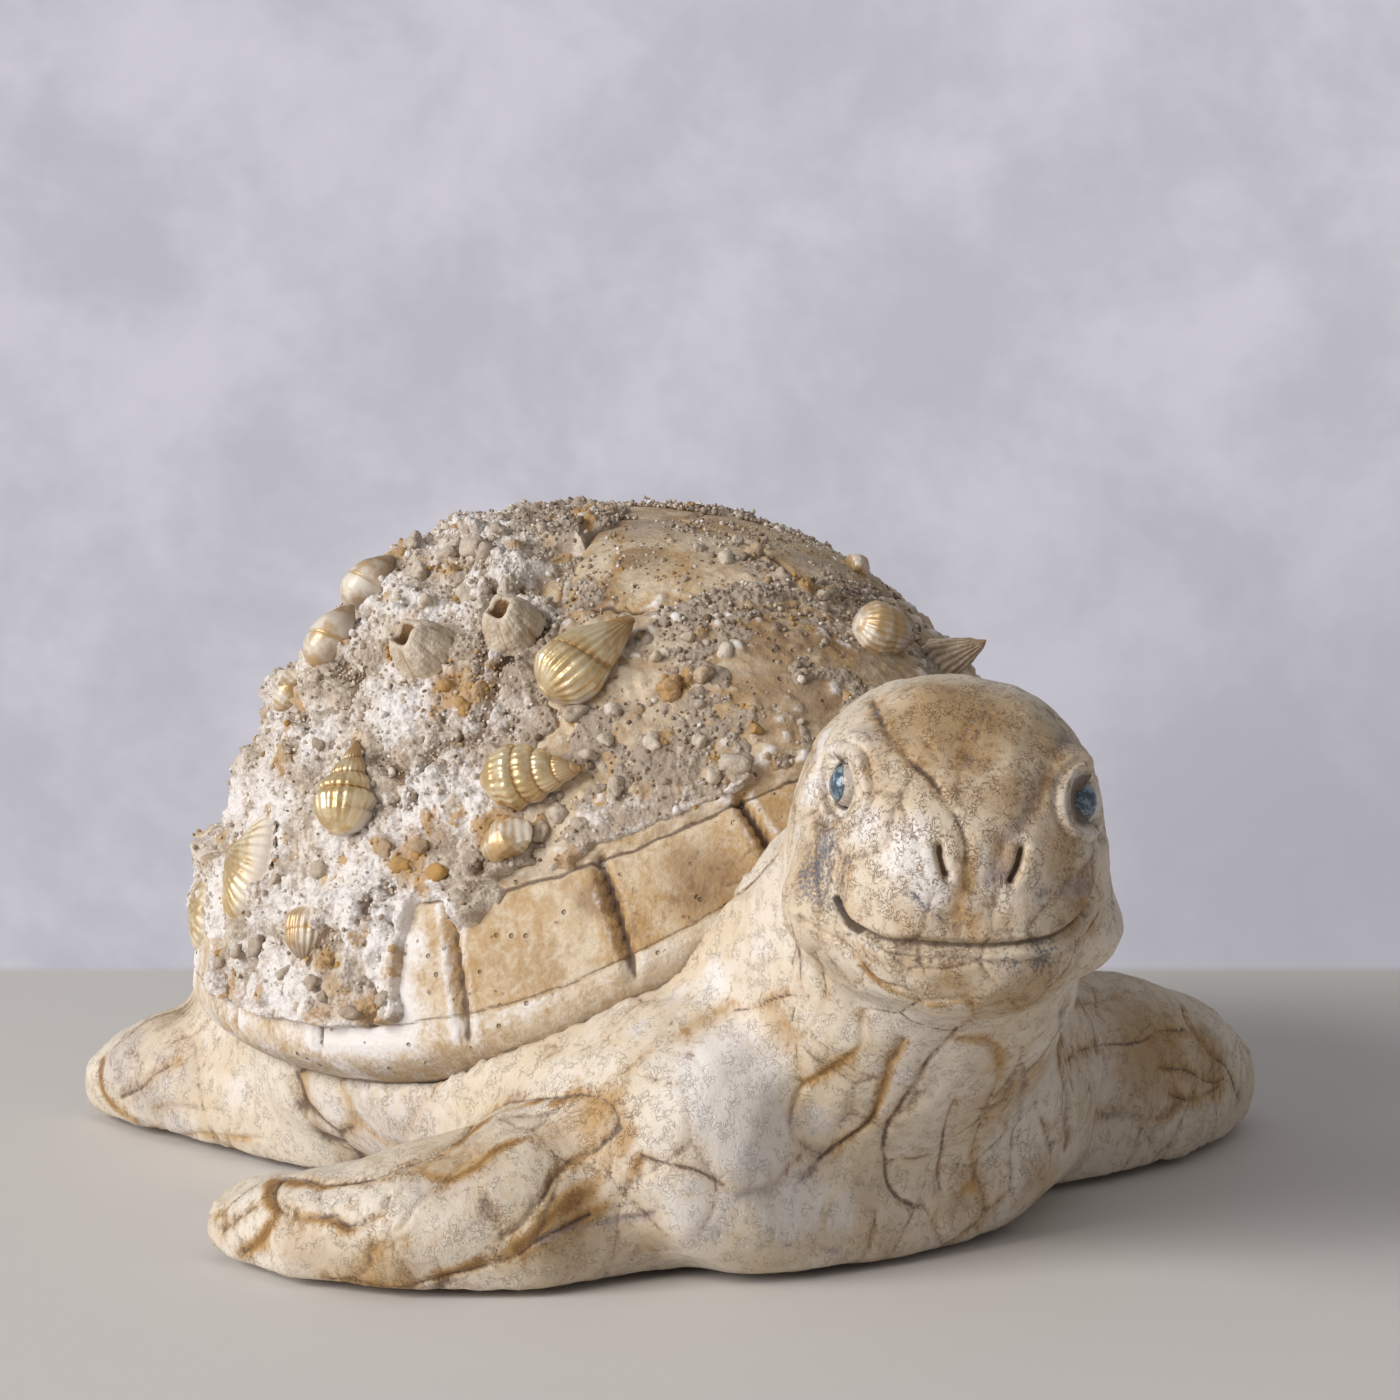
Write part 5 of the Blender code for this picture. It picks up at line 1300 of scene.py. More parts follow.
def limpet(size):
    """A ribbed cone whose pointed tip leans over by 0.4 of its height."""
    t, angle = ring_grid(56, 96)
    stops = (0.0, 0.30, 0.52, 0.76, 0.94, 1.0)
    radius = np.interp(t, stops, (0.43, 0.42, 0.32, 0.19, 0.07, 0.015))
    height = np.interp(t, stops, (-0.30, 0.0, 0.24, 0.50, 0.70, 0.76))
    crest = 0.5 + 0.5 * np.cos(16.0 * angle)
    radius = radius * (1.0 + 0.09 * (crest - 0.5) * fall(0.85, 1.0, t))
    ahead = radius * np.cos(angle) + 0.40 * np.maximum(height, 0.0)
    rings = size * np.stack([ahead, radius * np.sin(angle), height], axis=-1)
    rings += rings * 0.08 * layered(rings + size, size * 0.2, 3, 113)[..., None]
    points, faces = closed_rings(rings)
    return points, faces, {"recess": with_ends(0.35 + 0.4 * (1.0 - crest) + 0.4 * ramp(0.7, 1.0, t))}


def chip(size, seed):
    """A broken bit of shell: a squashed ball pressed by flat cuts, with growth lines."""
    points, faces = ball(5)
    random = np.random.default_rng(seed + 200)
    local = points * np.array((0.52, 0.34, 0.30))
    for cut in unit(random.normal(size=(9, 3))):
        reach = local @ cut
        limit = random.uniform(0.62, 0.86) * reach.max()
        local -= np.maximum(reach - limit, 0.0)[:, None] * cut * 0.92
    lines = np.sin(local[:, 0] * 60.0)
    local = local * (1.0 + 0.012 * lines + 0.05 * layered(local + 3.0, 0.16, 3, seed))[:, None]
    recess = 0.5 - 0.4 * lines + 0.6 * (local[:, 2] < 0.0)
    return local * size, faces, {"recess": recess, "tip": 0.0 * lines, "foot": 0.0 * lines + 0.2}


# Styles of coiled shells: outline, turns, swell of the whorls, ribs and their height, and rows.
BROAD = (STUBBY_WHELK, 1.9, 0.12, 22, 0.075)
BANDED = (WHELK, 5.2, 0.20, 22, 0.045)
SLENDER = (SLIM_SPIRE, 5.0, 0.22, 20, 0.05)
SMOOTH = (OLIVE, 2.2, 0.05, 0, 0.0)
ROUND = (MOON, 1.6, 0.10, 20, 0.07, 120)
ROUND_FINE = (MOON, 1.6, 0.10, 22, 0.06, 120)

# Name, style, place and target as (angle, share), length, width and stand in mm, as in the solids.
# A scallop's style is its number of ribs and a chip's is its seed.
SEA_SHELLS = (
    ("spire_shell_1", BROAD, (-45.5, 0.68), (-34, 0.61), 20.5, 12.5, 1.6),
    ("spire_shell_2", BANDED, (-52, 0.83), (-40, 0.845), 18.5, 11.5, 1.6),
    ("spire_shell_3", SLENDER, (-82, 0.835), (-86, 0.70), 17.5, 11.0, 1.6),
    ("spire_shell_4", BANDED, (84, 0.66), (72, 0.56), 18.0, 11.0, 1.2),
    ("spire_shell_5", SLENDER, (168, 0.78), (150, 0.66), 18.0, 11.0, 1.2),
    ("olive_shell_1", SMOOTH, (-110, 0.665), (-113, 0.50), 13.5, 8.0, 1.2),
    ("olive_shell_2", SMOOTH, (-117, 0.565), (-121, 0.40), 12.5, 8.0, 1.2),
    ("olive_shell_3", SMOOTH, (136, 0.66), (118, 0.56), 13.0, 8.0, 0.4),
    ("limpet_shell_1", (), (19, 0.78), (32, 0.95), 9.5, 9.5, 0.8),
    ("scallop_shell_1", (15,), (-102, 0.92), (-86, 0.95), 15.0, 15.0, 1.2),
    ("scallop_shell_2", (13,), (-118, 0.96), (-102, 0.97), 13.0, 13.0, 0.8),
    ("scallop_shell_3", (13,), (104, 0.84), (96, 0.60), 15.0, 15.0, 0.0),
    ("moon_shell_1", ROUND, (-85, 0.95), (-84, 1.0), 10.0, 9.0, 1.2),
    ("moon_shell_2", ROUND_FINE, (6, 0.745), (18, 0.81), 11.0, 9.8, 1.2),
    ("moon_shell_3", ROUND, (82, 0.90), (90, 0.98), 10.0, 9.0, 1.2),
    ("barnacle_1", (), (-62, 0.61), (-64, 0.50), 10.5, 10.5, 1.6),
    ("barnacle_2", (), (-80, 0.655), (-84, 0.52), 11.0, 11.0, 1.4),
    ("barnacle_3", (), (118, 0.58), (118, 0.46), 10.0, 10.0, 1.4),
    ("shell_chip_1", (1,), (-55, 0.89), (-45, 0.885), 11.5, 6.0, 1.4),
    ("shell_chip_2", (2,), (33, 0.52), (50, 0.50), 7.0, 6.0, 1.4),
    ("shell_chip_3", (3,), (-116, 0.75), (-116, 0.60), 10.0, 6.0, 0.4),
)


def build_sea_shells(gold, pearl, lime):
    """Each sea shell in place of its solid, in the same frame on the dome."""
    kinds = {
        "spire": (whorled, gold, "gold_paint"), "moon": (whorled, pearl, "gold_paint"),
        "olive": (whorled, pearl, "ivory_gold"), "scallop": (scallop, gold, "gold_paint"),
        "shell": (chip, pearl, "ivory_gold"), "barnacle": (barnacle, lime, "lime_crust"),
        "limpet": (limpet, lime, "lime_crust"),
    }
    for name, style, place, target, length, width, stand in SEA_SHELLS:
        form, material, slot = kinds[name.split("_")[0]]
        sizes = (length * MM, width * MM) if form is whorled else (length * MM,)
        points, faces, values = form(*sizes, *style)
        angle, share = np.array([place[0]], dtype=float), np.array([place[1]])
        here, up = dome(angle, share)[0], dome_normals(angle, share)[0]
        ahead = dome(np.array([float(target[0])]), np.array([min(target[1], 0.99)]))[0] - here
        ahead = unit(ahead - up * (ahead @ up))
        across = np.cross(up, ahead)
        lift = stand * MM + cover_in_solids(angle, share)[0] * (CRUST_THICKNESS + CLOD_HEIGHT * 0.3)
        placed = here + up * lift + points @ np.stack([ahead, across, up])
        make_piece(name + "_look", placed, faces, [name], material, values)


# The casting.

# Carved lines traced in the picture's frame: half width and depth in mm, and x, y places. Kinds:
# umber and ochre cuts, lilac cuts with painted shade, slate dashes, a soft ochre band, and broad washes with
# no depth.
CARVED_LINES = {
    "umber": (
        (0.8, 0.35, (872, 700, 878, 715, 886, 730, 900, 748, 915, 766, 930, 778, 945, 800, 958, 822,
            965, 845, 966, 862)),
        (0.5, 0.2, (1080, 899, 1095, 898, 1100, 910, 1085, 935)),
        (0.45, 0.2, (788, 915, 795, 940, 800, 965, 801, 985, 797, 1000, 793, 1020, 795, 1040, 797, 1060,
            800, 1078, 806, 1084)),
        (0.45, 0.2, (812, 925, 815, 950, 822, 970, 826, 985, 824, 1000, 820, 1015, 812, 1028, 803, 1035,
            799, 1045)),
        (0.45, 0.2, (735, 1010, 755, 1008, 770, 1000, 790, 995, 800, 998)),
        (0.45, 0.2, (862, 1010, 885, 1012, 900, 1013, 912, 1005, 920, 1001)),
        (0.45, 0.2, (900, 1013, 915, 1022, 940, 1030, 958, 1030, 972, 1015, 972, 1000)),
        (0.7, 0.4, (806, 1082, 798, 1095, 793, 1110, 792, 1122)),
        (0.7, 0.6, (903, 1040, 895, 1055, 887, 1070, 883, 1085, 878, 1100, 874, 1115, 864, 1128,
            850, 1138, 838, 1146, 828, 1154, 820, 1160)),
        (0.75, 0.6, (958, 1030, 950, 1040, 938, 1052, 927, 1065, 920, 1078, 908, 1095, 897, 1112,
            888, 1125, 884, 1145, 886, 1165, 890, 1185, 900, 1198, 912, 1205, 920, 1207)),
        (0.6, 0.35, (940, 1190, 938, 1170, 942, 1150, 945, 1130, 950, 1110, 955, 1100)),
        (0.6, 0.25, (640, 1155, 655, 1160, 672, 1165, 695, 1170, 712, 1178, 725, 1185)),
        (0.65, 0.5, (275, 1178, 285, 1175, 300, 1178, 320, 1182, 345, 1182, 370, 1179, 385, 1173,
            400, 1166, 420, 1160, 440, 1150, 460, 1138, 475, 1125, 490, 1112, 510, 1103, 530, 1100,
            550, 1098, 570, 1096)),
        (0.8, 0.6, (285, 1178, 276, 1188, 274, 1200, 280, 1210, 295, 1215, 315, 1217, 335, 1215,
            340, 1222, 350, 1225, 365, 1222, 380, 1212, 385, 1205, 388, 1195)),
        (0.8, 0.6, (503, 1238, 515, 1230, 525, 1222, 535, 1208, 545, 1195, 552, 1180, 560, 1172,
            570, 1162, 585, 1155, 598, 1148, 610, 1138, 620, 1128)),
        (0.6, 0.4, (560, 1100, 580, 1094, 600, 1098, 612, 1108, 618, 1122, 612, 1135, 600, 1145)),
        (0.6, 0.5, (235, 1265, 255, 1272, 275, 1280, 300, 1292, 320, 1295, 340, 1293, 352, 1288,
            358, 1284, 375, 1290, 390, 1292, 410, 1288, 430, 1282, 455, 1275, 475, 1270, 500, 1262,
            520, 1255, 535, 1243, 550, 1235, 570, 1225, 590, 1215)),
        (0.4, 0.2, (275, 1278, 300, 1281, 330, 1281, 350, 1280, 358, 1284)),
        (0.6, 0.7, (240, 1175, 232, 1182, 225, 1190)),
        (0.6, 0.7, (255, 1205, 235, 1218, 218, 1232)),
        (0.6, 0.7, (272, 1218, 262, 1238, 240, 1255)),
        (0.4, 0.3, (262, 1182, 240, 1195, 222, 1210)),
        (0.5, 0.3, (1072, 1003, 1090, 1002, 1110, 997, 1125, 992)),
        (0.55, 0.35, (1070, 1060, 1080, 1052, 1100, 1045, 1125, 1043, 1145, 1040, 1160, 1030,
            1185, 1030)),
        (0.55, 0.4, (1182, 1005, 1186, 1022, 1195, 1035, 1203, 1047, 1215, 1058, 1225, 1065, 1230, 1075,
            1235, 1090, 1240, 1100)),
        (0.5, 0.3, (1198, 1003, 1210, 1010, 1222, 1020, 1230, 1035, 1238, 1052, 1243, 1062, 1247, 1080)),
        (0.5, 0.3, (1160, 1068, 1185, 1070, 1200, 1078, 1215, 1083, 1225, 1078)),
        (0.5, 0.3, (1172, 1095, 1185, 1100, 1195, 1100, 1210, 1093, 1222, 1085)),
        (0.6, 0.4, (120, 1098, 140, 1088, 150, 1078, 160, 1070, 180, 1060)),
        (0.4, 0.25, (150, 1110, 175, 1107, 200, 1110, 220, 1112)),
        (0.4, 0.2, (180, 1140, 200, 1148, 225, 1155)),
        (0.4, 0.2, (112, 1050, 122, 1040, 130, 1030)),
    ),
    "lilac": (
        (1.5, 0.35, (1070, 735, 1062, 745, 1052, 765, 1042, 790, 1030, 815, 1015, 835, 1003, 845,
            995, 880)),
        (1.2, 0.3, (1045, 895, 1060, 890, 1080, 886, 1100, 878)),
        (0.7, 0.3, (820, 1160, 808, 1172, 803, 1178)),
        (0.8, 0.3, (792, 1122, 795, 1135, 803, 1145, 815, 1152, 826, 1155)),
        (0.6, 0.3, (1060, 1010, 1058, 1040, 1060, 1070, 1066, 1090, 1066, 1120, 1068, 1140)),
        (0.6, 0.3, (1022, 1080, 1019, 1110, 1020, 1135, 1028, 1145, 1040, 1148, 1052, 1145)),
        (0.8, 0.25, (740, 1195, 755, 1190, 772, 1185, 785, 1172, 797, 1160, 803, 1155)),
        (0.6, 0.25, (720, 1235, 745, 1240, 770, 1246, 800, 1246, 820, 1246, 840, 1252)),
        (0.6, 0.3, (535, 1243, 560, 1232, 590, 1225, 620, 1220, 650, 1215)),
        (0.5, 0.3, (1095, 1113, 1110, 1117, 1125, 1113, 1140, 1120, 1155, 1120, 1170, 1112, 1180, 1108)),
    ),
    "slate": (
        (0.7, 0.15, (990, 712, 968, 725, 965, 745, 970, 760, 963, 765, 958, 785, 963, 800)),
        (0.7, 0.3, (848, 862, 862, 872, 880, 878, 900, 885, 915, 897, 925, 906, 940, 916, 952, 925,
            962, 932)),
        (0.8, 0.25, (840, 865, 825, 880, 800, 888)),
        (0.5, 0.2, (818, 815, 830, 821, 845, 824)),
    ),
    "ochre": (
        (0.9, 0.2, (1000, 840, 1002, 870, 996, 905)),
        (0.9, 0.2, (966, 862, 968, 885, 960, 900, 958, 915)),
        (0.6, 0.5, (800, 918, 820, 932, 845, 945, 862, 965, 880, 983, 900, 988, 915, 995, 920, 1001,
            945, 1000, 965, 998, 972, 1003)),
        (0.6, 0.3, (863, 1012, 862, 1030, 861, 1045, 855, 1052, 843, 1060, 830, 1070, 815, 1078,
            806, 1082)),
        (0.7, 0.35, (960, 1040, 985, 1040, 998, 1050, 1000, 1065, 997, 1085, 990, 1100, 985, 1115,
            978, 1130, 970, 1150, 972, 1170, 970, 1185, 958, 1195)),
        (0.6, 0.25, (620, 1220, 640, 1215, 655, 1212)),
        (0.6, 0.3, (388, 1235, 405, 1225, 412, 1210, 425, 1198, 440, 1188, 455, 1172, 465, 1162,
            480, 1160)),
        (0.6, 0.3, (372, 1255, 378, 1245, 395, 1242, 410, 1240)),
        (0.6, 0.3, (130, 1125, 160, 1130, 180, 1137, 200, 1135, 230, 1138, 260, 1140)),
    ),
    "band": (
        (2.2, 0.15, (600, 1092, 620, 1075, 660, 1045, 700, 1025, 735, 1005)),
    ),
    "wash": (
        (2.2, 0.0, (556, 1106, 580, 1096, 606, 1098, 624, 1112, 628, 1128, 618, 1146, 604, 1166,
            588, 1188, 566, 1206)),
        (1.6, 0.0, (560, 1206, 536, 1232, 500, 1256, 450, 1274, 400, 1286, 350, 1290)),
        (1.3, 0.0, (240, 1262, 270, 1276, 310, 1290, 350, 1290)),
        (1.5, 0.0, (272, 1182, 268, 1200, 276, 1212, 262, 1236, 246, 1254)),
        (1.3, 0.0, (280, 1182, 330, 1186, 380, 1180, 430, 1162, 480, 1128, 540, 1102)),
        (1.2, 0.0, (292, 1216, 330, 1220, 352, 1230, 384, 1212)),
        (1.2, 0.0, (400, 1160, 440, 1178, 470, 1170, 500, 1150, 540, 1140)),
        (1.5, 0.0, (640, 1160, 628, 1186, 600, 1210, 566, 1228)),
        (1.0, 0.0, (862, 966, 880, 984, 902, 994, 930, 1004, 960, 1000)),
        (0.9, 0.0, (906, 1044, 892, 1064, 884, 1090, 872, 1118, 850, 1140)),
        (1.0, 0.0, (860, 1048, 836, 1066, 808, 1082)),
        (1.2, 0.0, (104, 1062, 104, 1088, 116, 1108, 136, 1120)),
    ),
}
MOUTH_UPPER = (
    838, 905, 845, 920, 862, 932, 885, 941, 920, 944, 950, 946, 985, 947, 1020, 943, 1050, 938, 1070, 928,
    1084, 914, 1092, 902,
)
MOUTH_CORNER = (838, 902, 842, 912, 848, 922, 855, 928)
MOUTH_LOWER = (850, 935, 880, 950, 900, 954, 925, 959, 950, 958, 1000, 962, 1050, 954, 1080, 938)
NOSTRILS = ((939, 846, 940, 858, 945, 874), (1022, 848, 1018, 864, 1011, 880))
EYE_RINGS = (
    (843, 748, 828, 756, 820, 775, 820, 798, 826, 814, 842, 822, 858, 816, 868, 800, 866, 776,
     858, 756, 843, 748),
    (1083, 768, 1070, 778, 1062, 798, 1063, 820, 1072, 834, 1088, 836, 1098, 826),
)
# Round places of paint for each field: x and y in the frame, radius in pixels and strength.
PAINT_PLACES = {
    "chalk_and_highlight": (
        # This line's places give the chest's lit left side a painted highlight; the rest lay rubbed-on
        # chalk.
        (735, 1080, 60, 1.2), (760, 1140, 50, 1.1), (790, 1205, 50, 0.9), (700, 1210, 50, 0.7),
        (700, 1060, 36, 0.9), (720, 980, 30, 0.8), (815, 1120, 30, 0.7), (905, 850, 40, 0.95),
        (930, 885, 30, 0.9), (870, 830, 36, 0.7), (825, 745, 22, 1.0), (812, 790, 20, 1.0),
        (845, 810, 18, 0.8), (800, 830, 16, 0.6), (905, 1080, 24, 0.6), (905, 1150, 24, 0.5),
        (470, 1200, 60, 0.5), (420, 1190, 40, 0.5), (840, 1215, 30, 0.7), (330, 1160, 30, 0.3),
        (330, 1110, 50, 0.8), (400, 1110, 40, 0.7), (240, 1090, 40, 0.5), (680, 1000, 24, 0.8),
        (640, 1030, 20, 0.7), (760, 950, 20, 0.7), (600, 1190, 30, 0.3), (680, 1200, 50, 0.4),
        (760, 1240, 40, 0.4), (180, 1130, 60, 0.6), (1000, 905, 34, 0.4), (960, 975, 30, 0.35),
        (140, 1110, 50, 0.5), (160, 1090, 60, 0.5),
    ),
    "ochre": (
        (590, 1120, 40, 0.75), (560, 1130, 30, 0.7), (600, 1160, 30, 0.7), (340, 1225, 22, 0.6),
        (265, 1245, 16, 0.8), (855, 1105, 18, 0.7), (780, 1030, 34, 0.7), (940, 985, 26, 0.7),
        (965, 990, 18, 0.6), (1000, 925, 40, 0.6), (900, 925, 34, 0.6), (870, 770, 16, 0.6),
        (975, 925, 20, 0.7), (890, 790, 16, 0.5), (126, 1114, 16, 0.8), (690, 1040, 20, 0.6),
        (430, 1250, 30, 0.5), (1118, 995, 12, 0.8), (1195, 1090, 12, 0.8), (545, 1145, 24, 0.6),
        (850, 1060, 20, 0.6), (740, 985, 20, 0.5), (985, 1110, 24, 0.5), (920, 1220, 30, 0.4),
        (800, 860, 14, 0.5), (950, 810, 20, 0.5), (400, 1130, 24, 0.4), (1000, 1180, 30, 0.4),
        (945, 975, 44, 0.7), (880, 950, 24, 0.6), (1085, 905, 26, 0.6), (1040, 965, 34, 0.6),
        (602, 1106, 34, 1.0), (470, 1160, 34, 0.6),
    ),
    # Painted lilac-grey shade in recesses and shaded places.
    "lilac": (
        (150, 1100, 90, 0.7), (230, 1150, 60, 0.6), (120, 1060, 60, 0.8), (230, 1070, 40, 0.4),
        (700, 1235, 60, 0.4), (1060, 780, 18, 0.6), (975, 740, 26, 0.5), (1040, 820, 20, 0.6),
        (700, 1180, 40, 0.45), (660, 1140, 30, 0.5), (770, 1175, 30, 0.5), (190, 1080, 40, 0.55),
        (160, 1080, 30, 0.5), (1080, 1080, 50, 0.5), (820, 1230, 40, 0.35), (300, 1140, 50, 0.35),
        (1075, 960, 24, 0.5),
    ),
    "specks": (
        (960, 720, 90, 1.2), (1050, 760, 60, 1.0), (930, 830, 150, 0.75), (950, 975, 100, 0.8),
        (826, 870, 44, 1.0), (950, 800, 170, 1.0), (900, 960, 60, 0.8), (575, 1195, 44, 0.8),
        (500, 1225, 40, 0.5), (1000, 1150, 60, 0.4), (870, 1060, 40, 0.35),
    ),
    # Tan paint on the crown and flippers; the places from x 1000 rightwards, on the head, neck and left
    # flipper, are painted shade on the side turned from the lamp.
    "tan": (
        (900, 715, 40, 0.9), (600, 1118, 44, 0.9), (870, 780, 60, 0.6), (950, 940, 90, 0.6),
        (830, 970, 60, 0.5), (960, 720, 80, 1.2), (1040, 740, 50, 0.9), (1010, 800, 50, 0.8),
        (900, 730, 30, 0.5), (1080, 900, 50, 0.9), (1020, 1000, 60, 0.9), (1000, 1100, 70, 0.7),
        (960, 1200, 60, 0.7), (1040, 1180, 50, 0.7), (1150, 1050, 80, 1.0), (1210, 1060, 50, 1.0),
        (1060, 850, 40, 0.9), (880, 1250, 60, 0.6), (560, 1230, 50, 0.9), (640, 1250, 60, 0.6),
        (300, 1240, 50, 0.6), (450, 1170, 60, 0.7), (380, 1280, 60, 0.8), (812, 870, 40, 0.8),
    ),
    # Slate: painted shade on the cheek by the mouth's corner and under the lower lip, and slate-blue
    # patches.
    "slate": (
        (826, 848, 26, 1.15), (818, 876, 34, 1.1), (830, 900, 20, 0.9), (878, 712, 12, 0.95),
        (968, 735, 12, 0.5), (958, 925, 10, 0.7), (1040, 955, 24, 0.9), (1010, 962, 18, 0.8),
        (890, 945, 10, 0.5), (835, 840, 12, 0.5),
    ),
}
# For each kind of line: its paints, their strength and how far they spread, in half widths.
LINE_PAINT = {
    # The lilac field is painted shade beside the cuts.
    "umber": (("line", 0.85, 0.70), ("ochre", 0.60, 3.6), ("lilac", 0.40, 3.6)),
    "ochre": (("line", 0.55, 0.60), ("ochre", 0.95, 2.8)),
    "lilac": (("line", 0.45, 0.60), ("lilac", 0.90, 2.4)),
    "slate": (("slate", 0.75, 1.2), ("lilac", 0.50, 2.6)),
    "band": (("ochre", 0.60, 1.8),),
    "wash": (("ochre", 1.60, 1.0), ("specks", 1.0, 1.3)),
}
PAINT_FIELDS = ("line", "ochre", "lilac", "slate", "chalk_and_highlight", "tan", "specks", "edge")
# Each iris: the place it looks out at in the frame, and its half width in eye radii.
IRISES = (("eye_right", (834, 782), 0.58), ("eye_left", (1085, 800), 0.56))
IRIS_HALF_HEIGHT = 1.05
# Room between an eyeball and the skin round it.
SOCKET_ROOM = 0.00012
# The melted skin's voxels and how often it is smoothed.
SKIN_VOXEL = 0.0018
SKIN_SMOOTHINGS = 9
# The longest edges of the skin in view and out of view, on the head, by cuts and by the face's
# lines, under the shell and on the belly, and how far the head reaches from its middle.
EDGE_SEEN = 0.00145
EDGE_UNSEEN = 0.0028
EDGE_ON_HEAD = 0.00092
EDGE_BY_CUTS = 0.00075
EDGE_BY_FACE_LINES = 0.00055
EDGE_UNDER_SHELL = 0.022
EDGE_ON_BELLY = 0.007
HEAD_REACH = 0.044


def body_base():
    """The casting's solid as an even skin: merged, melted in small voxels and smoothed."""
    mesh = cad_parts["body_casting"].data.copy()
    bm = bmesh.new()
    bm.from_mesh(mesh)
    bmesh.ops.remove_doubles(bm, verts=bm.verts, dist=1e-6)
    bm.to_mesh(mesh)
    bm.free()
    holder = bpy.data.objects.new("casting_copy", mesh)
    bpy.context.scene.collection.objects.link(holder)
    melt = holder.modifiers.new("melt", "REMESH")
    melt.mode = "VOXEL"
    melt.voxel_size = SKIN_VOXEL
    made = bpy.data.meshes.new_from_object(holder.evaluated_get(bpy.context.evaluated_depsgraph_get()))
    bpy.data.objects.remove(holder)
    made.calc_loop_triangles()
    points = np.zeros(3 * len(made.vertices))
    made.vertices.foreach_get("co", points)
    faces = np.zeros(3 * len(made.loop_triangles), dtype=np.int64)
    made.loop_triangles.foreach_get("vertices", faces)
    bpy.data.meshes.remove(made)
    faces = faces.reshape(-1, 3)
    return relaxed(points.reshape(-1, 3), faces, SKIN_SMOOTHINGS), faces


def eye_middles():
    """The middles of the two eyeballs."""
    middles = []
    for node in ("eye_right", "eye_left"):
        low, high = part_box(node)
        middles.append((np.array(low) + np.array(high)) / 2.0)
    return middles


def seen_in_eye(points, middle, gaze):
    """Places across and up from the iris's middle as the camera sees them, in eye radii."""
    towards = unit(CAMERA_PLACE - middle)
    across = unit(np.cross(LOOK_UP, towards))
    upward = np.cross(towards, across)
    shift = (np.array(gaze) - to_pixels(middle[None])[0]) / FOCAL_PIXELS * EYE_DISTANCE
    out = (points - middle - shift[0] * LOOK_RIGHT + shift[1] * LOOK_UP) / EYE_RADIUS
    return out @ across, out @ upward, (points - middle) @ towards / EYE_RADIUS


def carve_paths(tree):
    """All traced lines of the casting, laid on its skin."""
    paths = [(kind, half * MM, depth * MM, traced(tree, places))
             for kind, lines in CARVED_LINES.items() for half, depth, places in lines]
    return [path for path in paths if len(path[3]) > 1]


def skin_detail(paths, fine_paths, head_middle):
    """How long an edge may be: short by traced lines and on the face, long out of sight."""
    def wanted(points, normals):
        seen = facing(points, normals)
        size = np.where(seen > -0.1, EDGE_SEEN, EDGE_UNSEEN)
        away = np.linalg.norm(points - head_middle, axis=1)
        size = np.where((away < HEAD_REACH) & (seen > 0.0), EDGE_ON_HEAD, size)
        near = np.full(len(points), 0.006)
        for _, half, _, path in paths:
            near = np.minimum(near, distance_to(points, path, 0.004) - half)
        size = np.where(near < 0.0010, np.minimum(size, EDGE_BY_CUTS), size)
        for path in fine_paths:
            size = np.where(distance_to(points, path, 0.0022) < 0.0020, EDGE_BY_FACE_LINES, size)
        covered = (plan_place(points)[1] < 0.9) & (points[:, 2] > 0.024)
        return np.where(covered, EDGE_UNDER_SHELL, np.where(points[:, 2] < 0.002, EDGE_ON_BELLY, size))
    return wanted


def lay(fields, name, amount):
    """Raises a field of paint to an amount, where it is less."""
    fields[name] = np.maximum(fields[name], amount)


